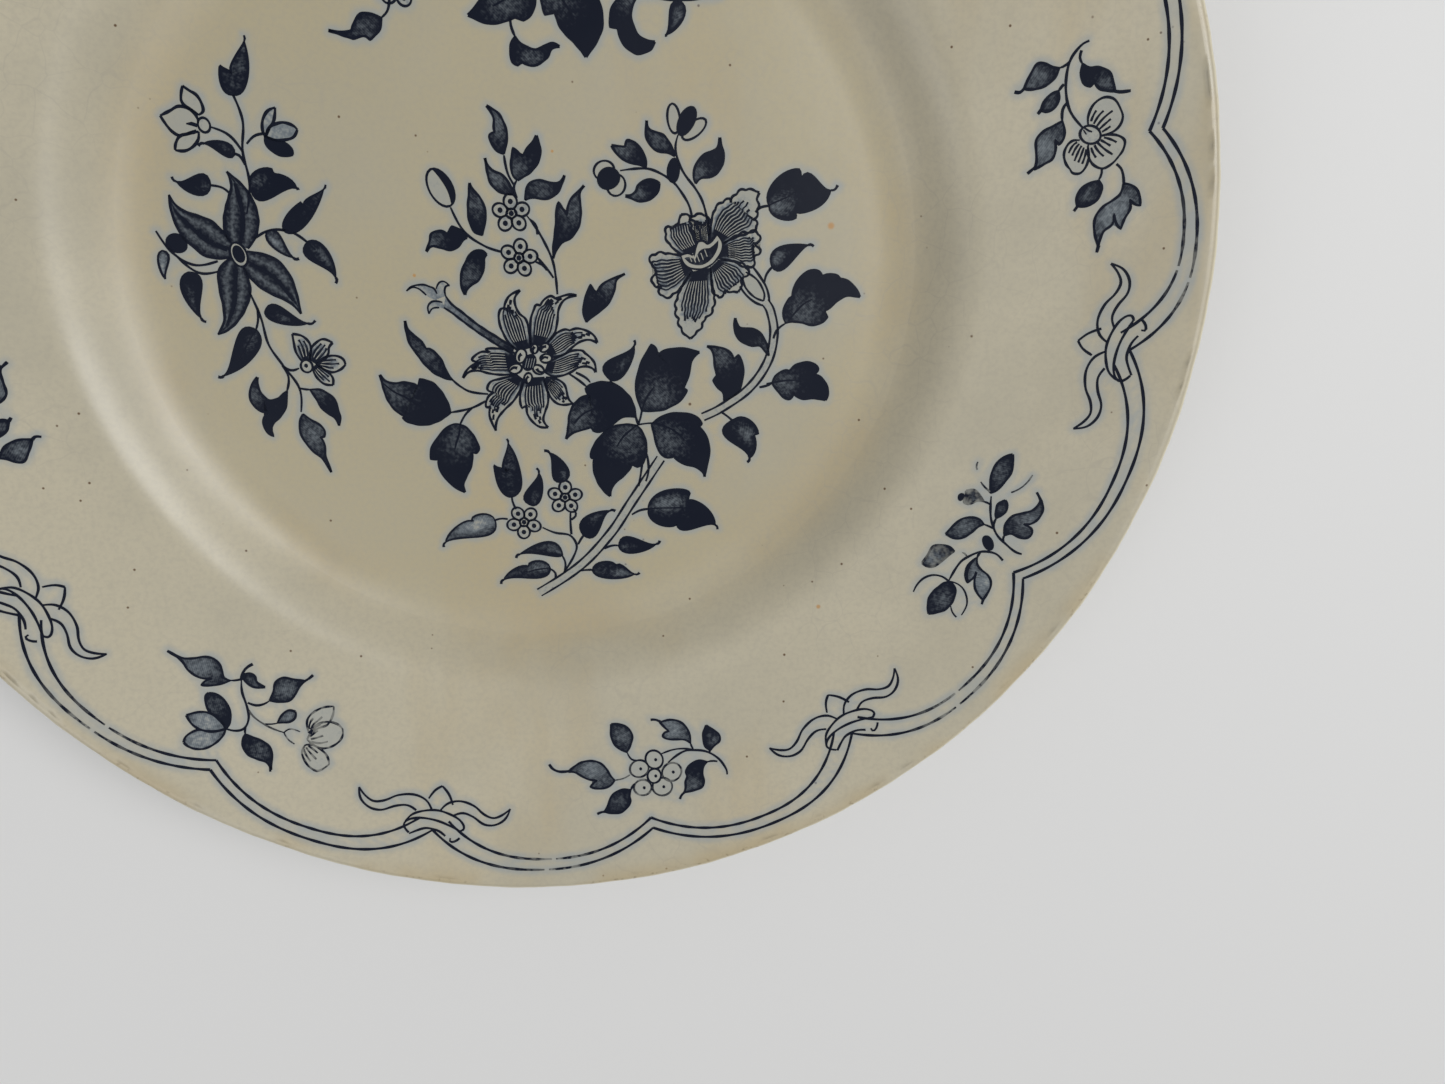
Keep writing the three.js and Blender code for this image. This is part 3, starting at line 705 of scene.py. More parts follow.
# The broad leaves of the bouquet: two outlines for each, both from its base to its tip, then its vein,
# and where its pale patch lies (0 to 1 along, -1 to 1 across).
BROAD_LEAVES = [
    ([[(21.3, -27.4), (20.2, -23.3), (20.5, -20.5), (21.5, -17.4), (23.4, -14.2)],
      [(24.3, -14.9), (24.6, -16.2)], [(26.1, -15.3), (28.6, -14.9), (30.8, -15.1), (32.9, -15.7)]],
     [[(21.3, -27.4), (25.0, -27.3), (27.2, -26.5), (29.3, -25.1), (30.4, -23.3)], [(29.7, -22.8)],
      [(30.4, -21.3), (31.0, -19.2), (31.4, -17.2), (32.9, -15.7)]],
     [(21.3, -27.4), (22.2, -24.9), (23.8, -22.6)], (0.26, 0.3)),
    ([[(20.1, -28.7), (17.8, -28.5), (16.2, -29.4), (14.6, -30.7), (12.6, -31.6), (11.5, -31.4)],
      [(11.1, -30.6)], [(8.8, -31.3), (7.3, -31.8), (6.0, -33.0)]],
     [[(20.1, -28.7), (19.9, -27.0), (19.2, -25.0), (18.1, -23.6), (16.1, -22.0), (13.6, -21.5),
       (11.3, -22.0), (10.2, -22.8)],
      [(10.5, -23.7), (11.2, -24.0)],
      [(9.3, -24.6), (7.7, -26.1), (6.8, -28.2), (6.5, -30.5), (6.0, -33.0)]],
     [(7.7, -29.8), (9.9, -27.7), (12.8, -26.7), (15.4, -26.4)], (0.75, -0.1)),
    ([[(20.2, -30.3), (21.3, -31.6), (22.0, -33.6), (22.1, -35.7), (21.4, -38.1), (20.2, -39.0)],
      [(19.1, -38.4)], [(18.4, -39.7), (17.1, -41.0), (15.3, -42.6), (14.7, -43.9), (14.5, -45.1)]],
     [[(20.2, -30.3), (18.0, -30.1), (15.7, -30.5), (13.4, -32.0), (11.6, -34.2), (10.8, -36.3),
       (10.9, -37.0)],
      [(11.5, -37.1)], [(11.3, -38.9), (11.7, -41.0), (12.8, -43.3), (14.5, -45.1)]],
     [(20.2, -30.3), (19.1, -31.2), (17.5, -32.6), (16.1, -34.7)], (0.2, 0.0)),
    ([[(23.2, -30.1), (25.4, -28.5), (27.7, -27.9), (30.3, -28.0), (32.4, -28.7), (33.4, -30.1)],
      [(32.9, -30.7)], [(34.1, -32.3), (34.9, -34.7), (34.8, -37.3), (34.3, -39.4), (34.0, -41.2)]],
     [[(23.2, -30.1), (23.6, -31.8), (24.0, -33.6), (24.7, -35.7), (26.0, -37.0), (27.3, -37.0)],
      [(27.6, -36.7)], [(28.6, -37.8), (30.3, -38.6), (32.4, -39.2), (33.6, -40.2), (34.0, -41.2)]],
     [(20.4, -30.2), (23.6, -29.9), (25.8, -30.5), (27.8, -31.5), (29.9, -33.4)], (0.3, 0.5)),
    ([[(-16.6, -27.5), (-18.1, -28.6), (-19.7, -29.4), (-21.6, -29.9), (-23.4, -29.8), (-25.1, -29.3),
       (-26.1, -28.5)],
      [(-25.5, -28.2)], [(-27.2, -27.1), (-28.5, -25.2), (-29.1, -23.4), (-29.7, -19.9)]],
     [[(-16.6, -27.5), (-16.8, -26.2), (-17.5, -24.4), (-18.6, -22.6), (-19.9, -21.4), (-22.1, -20.8)],
      [(-22.5, -22.2)], [(-23.8, -21.6), (-25.3, -21.4), (-27.3, -21.6), (-28.9, -21.0), (-29.7, -19.9)]],
     [(-22.7, -25.8), (-25.1, -24.4), (-27.4, -23.2), (-29.2, -21.6)], (0.74, -0.1)),
    ([[(-14.9, -29.9), (-13.7, -30.5), (-12.6, -31.9), (-11.8, -33.5), (-11.5, -34.9), (-12.0, -35.8)],
      [(-12.9, -35.6)], [(-13.0, -37.3), (-13.5, -39.0), (-14.5, -40.8), (-15.1, -42.3), (-14.9, -43.9)]],
     [[(-14.9, -29.9), (-16.1, -29.8), (-17.4, -30.4), (-18.9, -31.8), (-20.2, -33.5), (-21.0, -34.9),
       (-21.2, -36.9)],
      [(-19.7, -37.0)], [(-19.7, -38.6), (-18.9, -40.4), (-17.7, -42.0), (-16.2, -43.2), (-14.9, -43.9)]],
     [(-14.9, -30.0), (-15.2, -31.7), (-16.0, -33.9), (-16.3, -35.0)], (0.22, -0.2)),
    ([[(-15.7, -21.0), (-17.5, -20.5), (-19.3, -19.5), (-21.1, -17.6), (-22.4, -15.6), (-23.4, -14.0),
       (-23.9, -11.8), (-24.0, -9.5)]],
     [[(-15.7, -21.0), (-16.7, -19.5), (-17.6, -17.1), (-18.7, -15.6), (-19.9, -14.8)],
      [(-20.3, -14.9), (-21.3, -13.3), (-22.7, -12.1), (-23.6, -11.0), (-24.0, -9.5)]],
     None, (0.5, 0.0)),
    ([[(50.0, -10.0), (49.5, -8.8), (49.6, -7.0), (50.5, -5.3), (51.2, -4.9)],
      [(51.4, -3.2), (52.3, -1.6), (53.7, -0.2), (55.1, 0.2), (56.3, 0.0), (57.0, -0.9)],
      [(58.1, -0.6), (59.8, -0.7), (60.5, -1.4)], [(62.2, -1.9), (63.6, -3.2), (64.6, -4.9)]],
     [[(50.0, -10.0), (51.3, -9.7), (53.2, -9.9), (55.4, -10.4), (57.1, -9.9), (58.3, -8.8)],
      [(57.6, -7.6)], [(58.9, -6.8), (60.3, -5.5), (62.0, -4.7), (64.6, -4.9)]],
     [(50.5, -9.6), (52.0, -7.7), (53.4, -6.3), (55.2, -5.3)], (0.25, 0.3)),
    ([[(47.5, -21.9), (48.4, -20.2), (50.1, -19.3), (51.0, -19.4)],
      [(52.3, -18.2), (54.2, -17.7), (55.9, -18.0), (56.8, -19.1), (56.2, -20.1)],
      [(57.6, -20.9), (58.6, -22.3), (59.0, -24.0), (58.5, -25.4)]],
     [[(47.5, -21.9), (48.9, -23.7), (50.0, -24.8), (51.2, -25.2), (51.8, -24.5), (51.9, -23.7)],
      [(52.4, -24.5), (53.9, -25.1), (56.3, -25.0), (58.5, -25.4)]],
     [(46.4, -22.0), (49.9, -21.4), (52.3, -21.3)], (0.2, 0.1)),
    ([[(37.8, -25.4), (37.7, -23.7), (36.6, -22.8), (35.7, -21.3)], [(36.4, -20.3)],
      [(36.0, -18.6), (35.8, -16.7), (35.3, -15.1), (34.4, -14.5)]],
     [[(37.8, -25.4), (40.0, -24.3), (41.2, -22.6), (41.7, -19.8), (41.6, -18.2), (40.7, -16.2)],
      [(39.8, -17.0)], [(39.1, -15.8), (37.9, -15.0), (36.5, -14.7), (34.4, -14.5)]],
     None, (0.75, 0.0)),
    ([[(46.8, -16.4), (45.9, -15.4), (44.9, -14.4), (43.2, -14.4), (41.3, -13.6), (40.1, -12.1),
       (39.8, -10.6), (40.0, -9.0)]],
     [[(46.8, -16.4), (46.4, -14.4), (45.3, -12.3), (43.9, -11.2), (42.0, -11.0), (40.7, -10.7),
       (40.0, -9.0)]],
     None, (0.1, 0.0)),
]


# The small leaves of the upper sprays, in the same way as the broad ones, then where each is pale and how
# dark it is.
SMALL_LEAVES = [
    ([[(-3.4, 20.9), (-4.6, 21.4), (-5.5, 22.7), (-5.9, 24.1), (-4.9, 24.7)],
      [(-5.0, 25.6), (-4.9, 27.0), (-5.4, 28.2), (-6.1, 29.2)]],
     [[(-3.4, 20.9), (-2.85, 22.7), (-2.65, 24.6), (-3.1, 26.3), (-4.0, 27.9), (-6.1, 29.2)]], (0.6, 0.0),
     0.9),
    ([[(-1.1, 16.3), (-1.95, 17.2), (-2.2, 18.9), (-2.0, 20.5), (-1.7, 22.0)],
      [(-0.7, 21.2), (-0.05, 20.4)], [(0.9, 21.9), (2.0, 23.1), (2.7, 24.2)]],
     [[(-1.1, 16.3), (0.1, 17.0), (1.2, 17.7), (2.4, 18.9), (3.2, 20.5), (3.3, 22.1), (2.7, 24.2)]],
     (0.2, -0.2), 0.98),
    ([[(-2.1, 13.8), (-3.5, 13.9), (-5.0, 14.5), (-6.2, 15.9), (-6.6, 17.5), (-6.9, 20.2)]],
     [[(-2.1, 13.8), (-2.2, 14.6), (-2.8, 15.9), (-3.9, 17.3), (-5.6, 18.0), (-6.6, 19.2), (-6.9, 20.2)]],
     (0.5, 0.0), 0.92),
    ([[(0.1, 12.8), (0.4, 14.7), (1.2, 15.9), (2.7, 16.4), (4.7, 16.0), (6.6, 16.0), (7.6, 17.3)]],
     [[(0.1, 12.8), (1.7, 13.3), (3.4, 13.0), (4.9, 13.3), (6.2, 14.2), (7.1, 15.8), (7.6, 17.3)]],
     (0.4, 0.0), 0.99),
    ([[(4.9, 2.2), (5.0, 4.5), (5.4, 6.8), (5.7, 9.1), (5.9, 11.4), (6.3, 12.5)],
      [(7.0, 11.4), (7.8, 10.1)], [(8.0, 11.6), (8.6, 13.0), (9.8, 14.2), (11.2, 15.5)]],
     [[(4.9, 2.2), (5.6, 3.8), (6.5, 5.0), (8.6, 6.2), (10.0, 8.3), (10.4, 10.3), (10.4, 12.0),
       (10.3, 14.0), (11.2, 15.5)]],
     (0.7, 0.2), 0.97),
    ([[(-8.2, 6.4), (-9.7, 7.1), (-10.5, 9.1), (-10.6, 11.4), (-10.3, 13.6), (-10.0, 15.8)]],
     [[(-8.2, 6.4), (-7.9, 7.7), (-7.4, 9.7), (-7.5, 11.4), (-8.3, 13.3), (-9.6, 14.8), (-10.0, 15.8)]],
     (0.6, 0.2), 0.98),
    ([[(-11.1, 5.9), (-12.0, 5.4), (-13.0, 4.2), (-14.4, 3.7), (-16.2, 4.1), (-17.7, 4.4), (-18.9, 3.4)]],
     [[(-11.1, 5.9), (-12.0, 7.2), (-13.8, 8.0)], [(-14.7, 6.7)],
      [(-16.0, 7.2), (-17.7, 6.7), (-18.1, 5.4), (-18.9, 3.4)]],
     (0.75, 0.0), 0.99),
    ([[(-7.6, 2.9), (-8.1, 2.2), (-8.2, 1.3), (-8.6, -0.4), (-9.5, -1.9), (-10.8, -2.7), (-11.8, -3.7),
       (-12.2, -4.6)]],
     [[(-7.6, 2.9), (-8.4, 3.6), (-9.8, 3.6), (-11.0, 2.6), (-11.6, 1.6), (-12.2, 0.6), (-12.7, -1.0),
       (-12.8, -2.8), (-12.2, -4.6)]],
     (0.6, 0.0), 0.97),
    ([[(10.8, -9.8), (10.3, -8.3), (10.5, -6.0), (11.2, -4.0), (11.8, -2.6)], [(12.8, -4.5)],
      [(13.7, -3.0), (15.2, -1.9), (17.0, -1.2), (18.5, -0.6)]],
     [[(10.8, -9.8), (12.2, -8.6), (13.9, -7.4), (15.5, -5.7), (16.4, -3.6), (16.9, -1.7), (18.5, -0.6)]],
     (0.75, -0.2), 0.98),
    ([[(28.3, 20.8), (27.0, 21.4), (25.5, 21.6), (24.5, 22.0), (23.6, 22.9), (23.0, 24.1), (22.9, 25.3),
       (23.1, 27.0)]],
     [[(28.3, 20.8), (28.0, 21.8), (27.2, 23.3), (26.2, 24.5), (24.9, 25.0), (23.8, 25.3), (23.3, 25.9),
       (23.1, 27.0)]],
     (0.5, 0.0), 0.99),
    ([[(22.8, 18.7), (21.7, 19.3), (20.2, 19.5), (19.0, 20.0), (17.9, 20.7), (16.9, 21.9), (16.5, 22.6)]],
     [[(22.8, 18.7), (22.9, 19.8), (22.7, 20.7), (21.9, 22.1), (21.0, 23.1), (20.0, 23.5), (19.4, 23.6)],
      [(19.1, 22.9), (19.0, 22.4)], [(17.9, 22.5), (16.5, 22.6)]],
     (0.75, 0.2), 0.95),
    ([[(25.4, 16.0), (25.2, 14.9), (24.4, 13.7), (23.2, 13.0), (21.8, 12.7), (20.4, 13.1), (18.9, 13.7)]],
     [[(25.4, 16.0), (24.9, 16.4), (23.8, 16.7), (22.3, 16.4), (21.3, 15.6), (20.9, 14.6), (20.0, 13.9),
       (18.9, 13.7)]],
     (0.7, 0.2), 0.98),
    ([[(32.2, 16.0), (31.8, 17.1), (32.0, 18.8), (32.8, 20.3), (33.8, 21.2), (35.3, 21.8), (36.3, 22.5),
       (36.7, 24.2)]],
     [[(32.2, 16.0), (32.9, 16.8), (33.6, 17.1), (35.1, 17.2), (36.4, 18.1), (37.2, 19.4), (37.5, 21.0),
       (37.0, 22.9), (36.7, 24.2)]],
     (0.2, -0.5), 0.99),
]


def draw_big_leaves(paper):
    """The broad lobed leaves round the lily, along the right stalk, and in the cluster of five."""
    paper.stem((-9.0, -23.8), (-12.5, -23.3), (-14.4, -22.2), (-15.8, -20.9))
    paper.stem((-9.6, -25.2), (-12.5, -26.6), (-16.9, -27.5))
    paper.stem((-12.3, -26.5), (-13.8, -28.0), (-14.9, -29.9))
    for left, right, vein, light in BROAD_LEAVES:
        paper.broad_leaf(outline(*left), outline(*right), None, light, vein=vein)
    for left, right, light, shade in SMALL_LEAVES:
        paper.broad_leaf(outline(*left), outline(*right), None, light, shade)
    paper.stem((7.0, -19.8), (9.0, -21.2), (10.4, -22.4))
    paper.stem((8.4, -19.6), (10.4, -20.7), (11.2, -21.6))
    paper.leaf((15.2, -21.2), (20.0, -14.4), 4.4, bend=0.5, sway=0.8)
    paper.stem((15.2, -21.2), (15.4, -21.8), (15.2, -22.2))
    paper.stem((20.1, -28.7), (20.3, -29.4), (20.5, -30.2))
    paper.stem((21.3, -27.4), (21.0, -28.8), (20.5, -30.2))


def draw_right_leaves(paper):
    """The smaller leaves along the stalk on the right of the bouquet."""
    paper.stem((37.2, -27.6), (38.6, -28.6), (40.0, -29.8))
    paper.leaf((39.9, -29.2), (43.2, -37.4), 6.0, (45.0, -32.2), None, light=0.5, tail=0.9)
    paper.stem((45.0, -22.7), (46.4, -22.4), (47.5, -21.9))
    paper.stem((47.6, -13.0), (48.3, -11.3), (50.0, -10.0))
    paper.stem((45.6, -2.2), (46.0, -0.6), (47.2, 0.9))
    paper.leaf((47.0, 0.8), (54.0, 4.9), 4.2, light=0.3, bend=0.6, sway=-0.6)
    paper.stem((43.6, 10.9), (44.6, 11.8), (46.4, 12.1))
    paper.leaf((46.2, 12.1), (58.0, 15.0), 8.4, (52.0, 18.8), (51.6, 10.0), light=0.2, tail=1.6)


def draw_berry_sprays(paper):
    """The stalks, leaves and berries above the lily."""
    paper.stem((5.4, -4.5), (5.1, 0.0), (4.5, 2.6), (2.4, 7.0), (0.3, 10.0))
    paper.stem((-1.4, 13.2), (-1.9, 15.0), (-1.2, 16.4))
    paper.stem((2.1, 6.6), (1.9, 8.2), (0.8, 9.4))
    paper.stem((4.8, -1.4), (3.7, 0.2), (1.7, 2.6))
    paper.stem((3.6, 0.0), (2.8, 1.0), (1.5, 1.6))
    paper.berries((-2.6, 10.4), 20)
    paper.berries((-1.6, 2.3), 80)
    paper.stem((-1.9, 15.6), (-2.9, 17.6), (-3.4, 20.7))
    paper.stem((-4.8, 3.4), (-8.0, 4.5), (-11.5, 7.0), (-13.8, 11.4))
    paper.oval((-15.4, 14.9), 7.2, 4.3, 116, ink=0.04)
    paper.layer = 1
    crescent = outline([(-13.6, 11.8), (-13.0, 14.6), (-14.9, 17.6), (-16.8, 18.2)])
    paper.film(outline([(-13.6, 11.8), (-14.2, 14.4), (-15.6, 16.8), (-16.8, 18.2)]), crescent, 3, 0.97)
    paper.layer = 0


def draw_foot_of_bouquet(paper):
    """The small leaves and berries at the foot of the bouquet."""
    paper.stem((4.4, -61.6), (6.6, -58.0), (7.3, -55.6), (6.0, -53.4), (3.0, -52.8), (0.4, -51.6))
    paper.stem((6.3, -53.2), (6.2, -50.5), (6.3, -48.2))
    paper.stem((6.4, -50.0), (7.4, -49.0), (6.9, -47.6))
    paper.berries((-3.3, -50.4), 50)
    paper.berries((5.3, -45.2), 15)
    paper.stem((-4.8, -47.6), (-5.4, -46.0), (-5.5, -44.6))
    paper.forked((-5.4, -45.0), (-5.6, -33.8), (-8.7, -38.1), 5.6, depth=0.55, shade=0.84)
    paper.leaf((-1.3, -46.9), (0.2, -40.0), 3.6, bend=0.3)
    paper.leaf((5.3, -41.8), (2.5, -35.8), 3.7, bend=-0.2)
    paper.stem((-6.6, -49.7), (-8.0, -49.6), (-9.4, -50.0))
    paper.leaf((-9.2, -49.9), (-19.6, -54.6), 4.4, None, (-14.0, -49.5), shade=0.62, light=0.4, vein=False)
    paper.stem((4.6, -61.5), (4.8, -59.4), (4.2, -57.8))
    paper.leaf((4.3, -57.8), (-4.6, -57.4), 3.2, bend=-1.6, shade=0.85)
    paper.stem((2.6, -62.8), (2.6, -61.6), (1.4, -60.6))
    paper.leaf((1.6, -60.5), (-8.2, -63.0), 3.8, None, (-3.0, -59.6), shade=0.8, bend=-0.4)
    paper.stem((7.6, -55.4), (8.2, -54.3), (8.9, -53.3))
    paper.leaf((8.7, -53.4), (14.4, -48.2), 4.4, bend=0.5)
    paper.stem((13.0, -56.4), (14.6, -55.8), (16.2, -55.8))
    paper.leaf((16.0, -55.9), (23.8, -55.6), 3.8)
    paper.stem((7.6, -61.3), (9.0, -61.1), (10.6, -61.1))
    paper.leaf((10.4, -61.2), (19.2, -62.2), 3.6, (15.2, -59.8), None, shade=0.8, bend=0.2)
    paper.stem((18.9, -49.1), (20.6, -48.2), (22.6, -47.9))
    paper.leaf((22.3, -48.0), (36.2, -51.6), 8.4, (31.0, -44.4), (28.0, -51.6), light=0.3)


# ---- The two smaller sprays in the well ----


# Petals of the two small flowers on the upper stalks: two outlines and how dark they are.
OPEN_PETALS = [
    ([(-57.4, 27.0), (-58.6, 27.9), (-59.7, 28.6), (-60.1, 29.6), (-59.5, 31.8)],
     [(-57.4, 27.0), (-56.5, 27.7), (-56.7, 29.2), (-57.4, 30.4), (-58.4, 31.0), (-59.5, 31.8)], 0.04),
    ([(-58.2, 24.4), (-61.2, 23.5), (-62.5, 24.2), (-63.5, 25.6), (-64.1, 26.8)],
     [(-57.7, 25.6), (-57.7, 26.4), (-58.3, 27.5), (-59.5, 28.2), (-60.8, 28.4), (-62.2, 27.7),
      (-64.1, 26.8)],
     0.02),
    ([(-57.8, 24.2), (-58.1, 22.8), (-59.2, 21.6), (-60.7, 20.9), (-62.4, 21.0)],
     [(-57.8, 24.2), (-59.4, 23.9), (-61.2, 23.4), (-62.1, 22.2), (-62.4, 21.0)], 0.05),
    ([(-46.2, 23.4), (-46.5, 24.8), (-46.2, 26.4), (-45.2, 27.8), (-43.8, 28.4)],
     [(-46.2, 23.4), (-45.4, 24.8), (-44.4, 26.0), (-44.0, 27.2), (-43.8, 28.4)], 0.25),
    ([(-46.0, 23.4), (-45.2, 25.0), (-44.1, 25.6), (-42.7, 25.9), (-41.0, 25.4), (-40.3, 24.7)],
     [(-46.0, 23.4), (-44.4, 22.9), (-43.0, 22.9), (-41.2, 23.4), (-40.3, 24.7)], 0.3),
    ([(-46.2, 23.6), (-44.6, 22.8), (-42.8, 22.4), (-41.8, 21.4), (-41.6, 20.4)],
     [(-46.2, 23.6), (-46.2, 22.5), (-45.6, 21.4), (-44.3, 20.5), (-42.7, 20.2), (-41.6, 20.4)], 1.0),
]

# The star flower's petals: two outlines from base to tip, and the dark line down the middle.
STAR_PETALS = [
    ([(-54.6, 4.6), (-55.5, 6.6), (-55.5, 8.7), (-54.9, 10.9), (-54.0, 13.1), (-53.3, 15.1), (-53.8, 17.4)],
     [(-51.8, 3.8), (-50.1, 6.0), (-49.3, 8.7), (-49.4, 10.9), (-50.1, 13.1), (-51.4, 15.1), (-53.8, 17.4)],
     [(-52.8, 5.4), (-52.0, 9.0), (-52.2, 12.6), (-52.8, 15.4)]),
    ([(-55.2, 2.2), (-57.5, 2.0), (-59.8, 2.5), (-61.9, 4.3), (-63.4, 6.0), (-64.2, 8.0), (-64.7, 10.4),
      (-64.7, 13.3)],
     [(-54.8, 5.0), (-56.3, 7.2), (-57.8, 8.7), (-60.0, 9.6), (-62.7, 10.6), (-64.0, 11.8), (-64.7, 13.3)],
     [(-55.6, 3.7), (-58.8, 5.0), (-61.4, 7.4), (-63.4, 9.8)]),
    ([(-52.0, 3.3), (-49.6, 2.9), (-47.1, 2.0), (-45.4, 0.2), (-44.3, -2.1), (-43.8, -4.7), (-43.4, -8.2)],
     [(-53.0, 0.4), (-51.8, -1.8), (-49.8, -3.7), (-47.6, -4.9), (-45.4, -6.0), (-44.3, -7.0),
      (-43.4, -8.2)],
     [(-51.8, 1.0), (-49.0, -0.4), (-46.8, -2.4), (-44.6, -5.8)]),
    ([(-53.2, 0.6), (-52.5, -1.6), (-52.4, -4.2), (-53.6, -7.1), (-55.2, -9.3), (-57.2, -11.1),
      (-59.4, -12.1)],
     [(-55.2, 2.0), (-57.2, 0.5), (-57.9, -1.4), (-57.9, -4.2), (-57.7, -7.1), (-57.9, -9.5),
      (-59.4, -12.1)],
     [(-54.6, 0.2), (-55.0, -3.4), (-55.8, -6.8), (-57.4, -10.0)]),
]

# Petals of the small flower under the star flower: two outlines for each.
SMALL_PETALS = [
    ([(-44.2, -17.4), (-45.2, -15.5), (-45.4, -13.9), (-45.5, -12.0)],
     [(-42.8, -17.0), (-42.3, -14.7), (-42.6, -13.5), (-43.7, -12.4), (-45.5, -12.0)]),
    ([(-42.8, -17.0), (-42.3, -14.9), (-41.5, -13.9), (-39.9, -13.0), (-38.1, -13.7)],
     [(-41.8, -17.8), (-40.0, -16.9), (-39.1, -15.7), (-38.9, -14.6), (-38.1, -13.7)]),
    ([(-41.6, -17.6), (-39.6, -16.4), (-37.8, -16.2), (-36.5, -16.8), (-36.1, -17.9)],
     [(-41.6, -17.8), (-40.3, -18.8), (-38.8, -19.4), (-37.2, -18.9), (-36.1, -17.9)]),
    ([(-41.8, -17.9), (-39.6, -19.4), (-38.8, -20.5), (-38.9, -21.9)],
     [(-42.4, -18.4), (-42.2, -19.6), (-41.6, -20.7), (-40.5, -21.7), (-38.9, -21.9)]),
]


def star_ink(u, v, at):
    """The ink of a star petal, palest halfway between its middle and its sides."""
    return 0.92 - 0.34 * np.exp(-(((np.abs(v) - 0.5) / 0.34) ** 2))


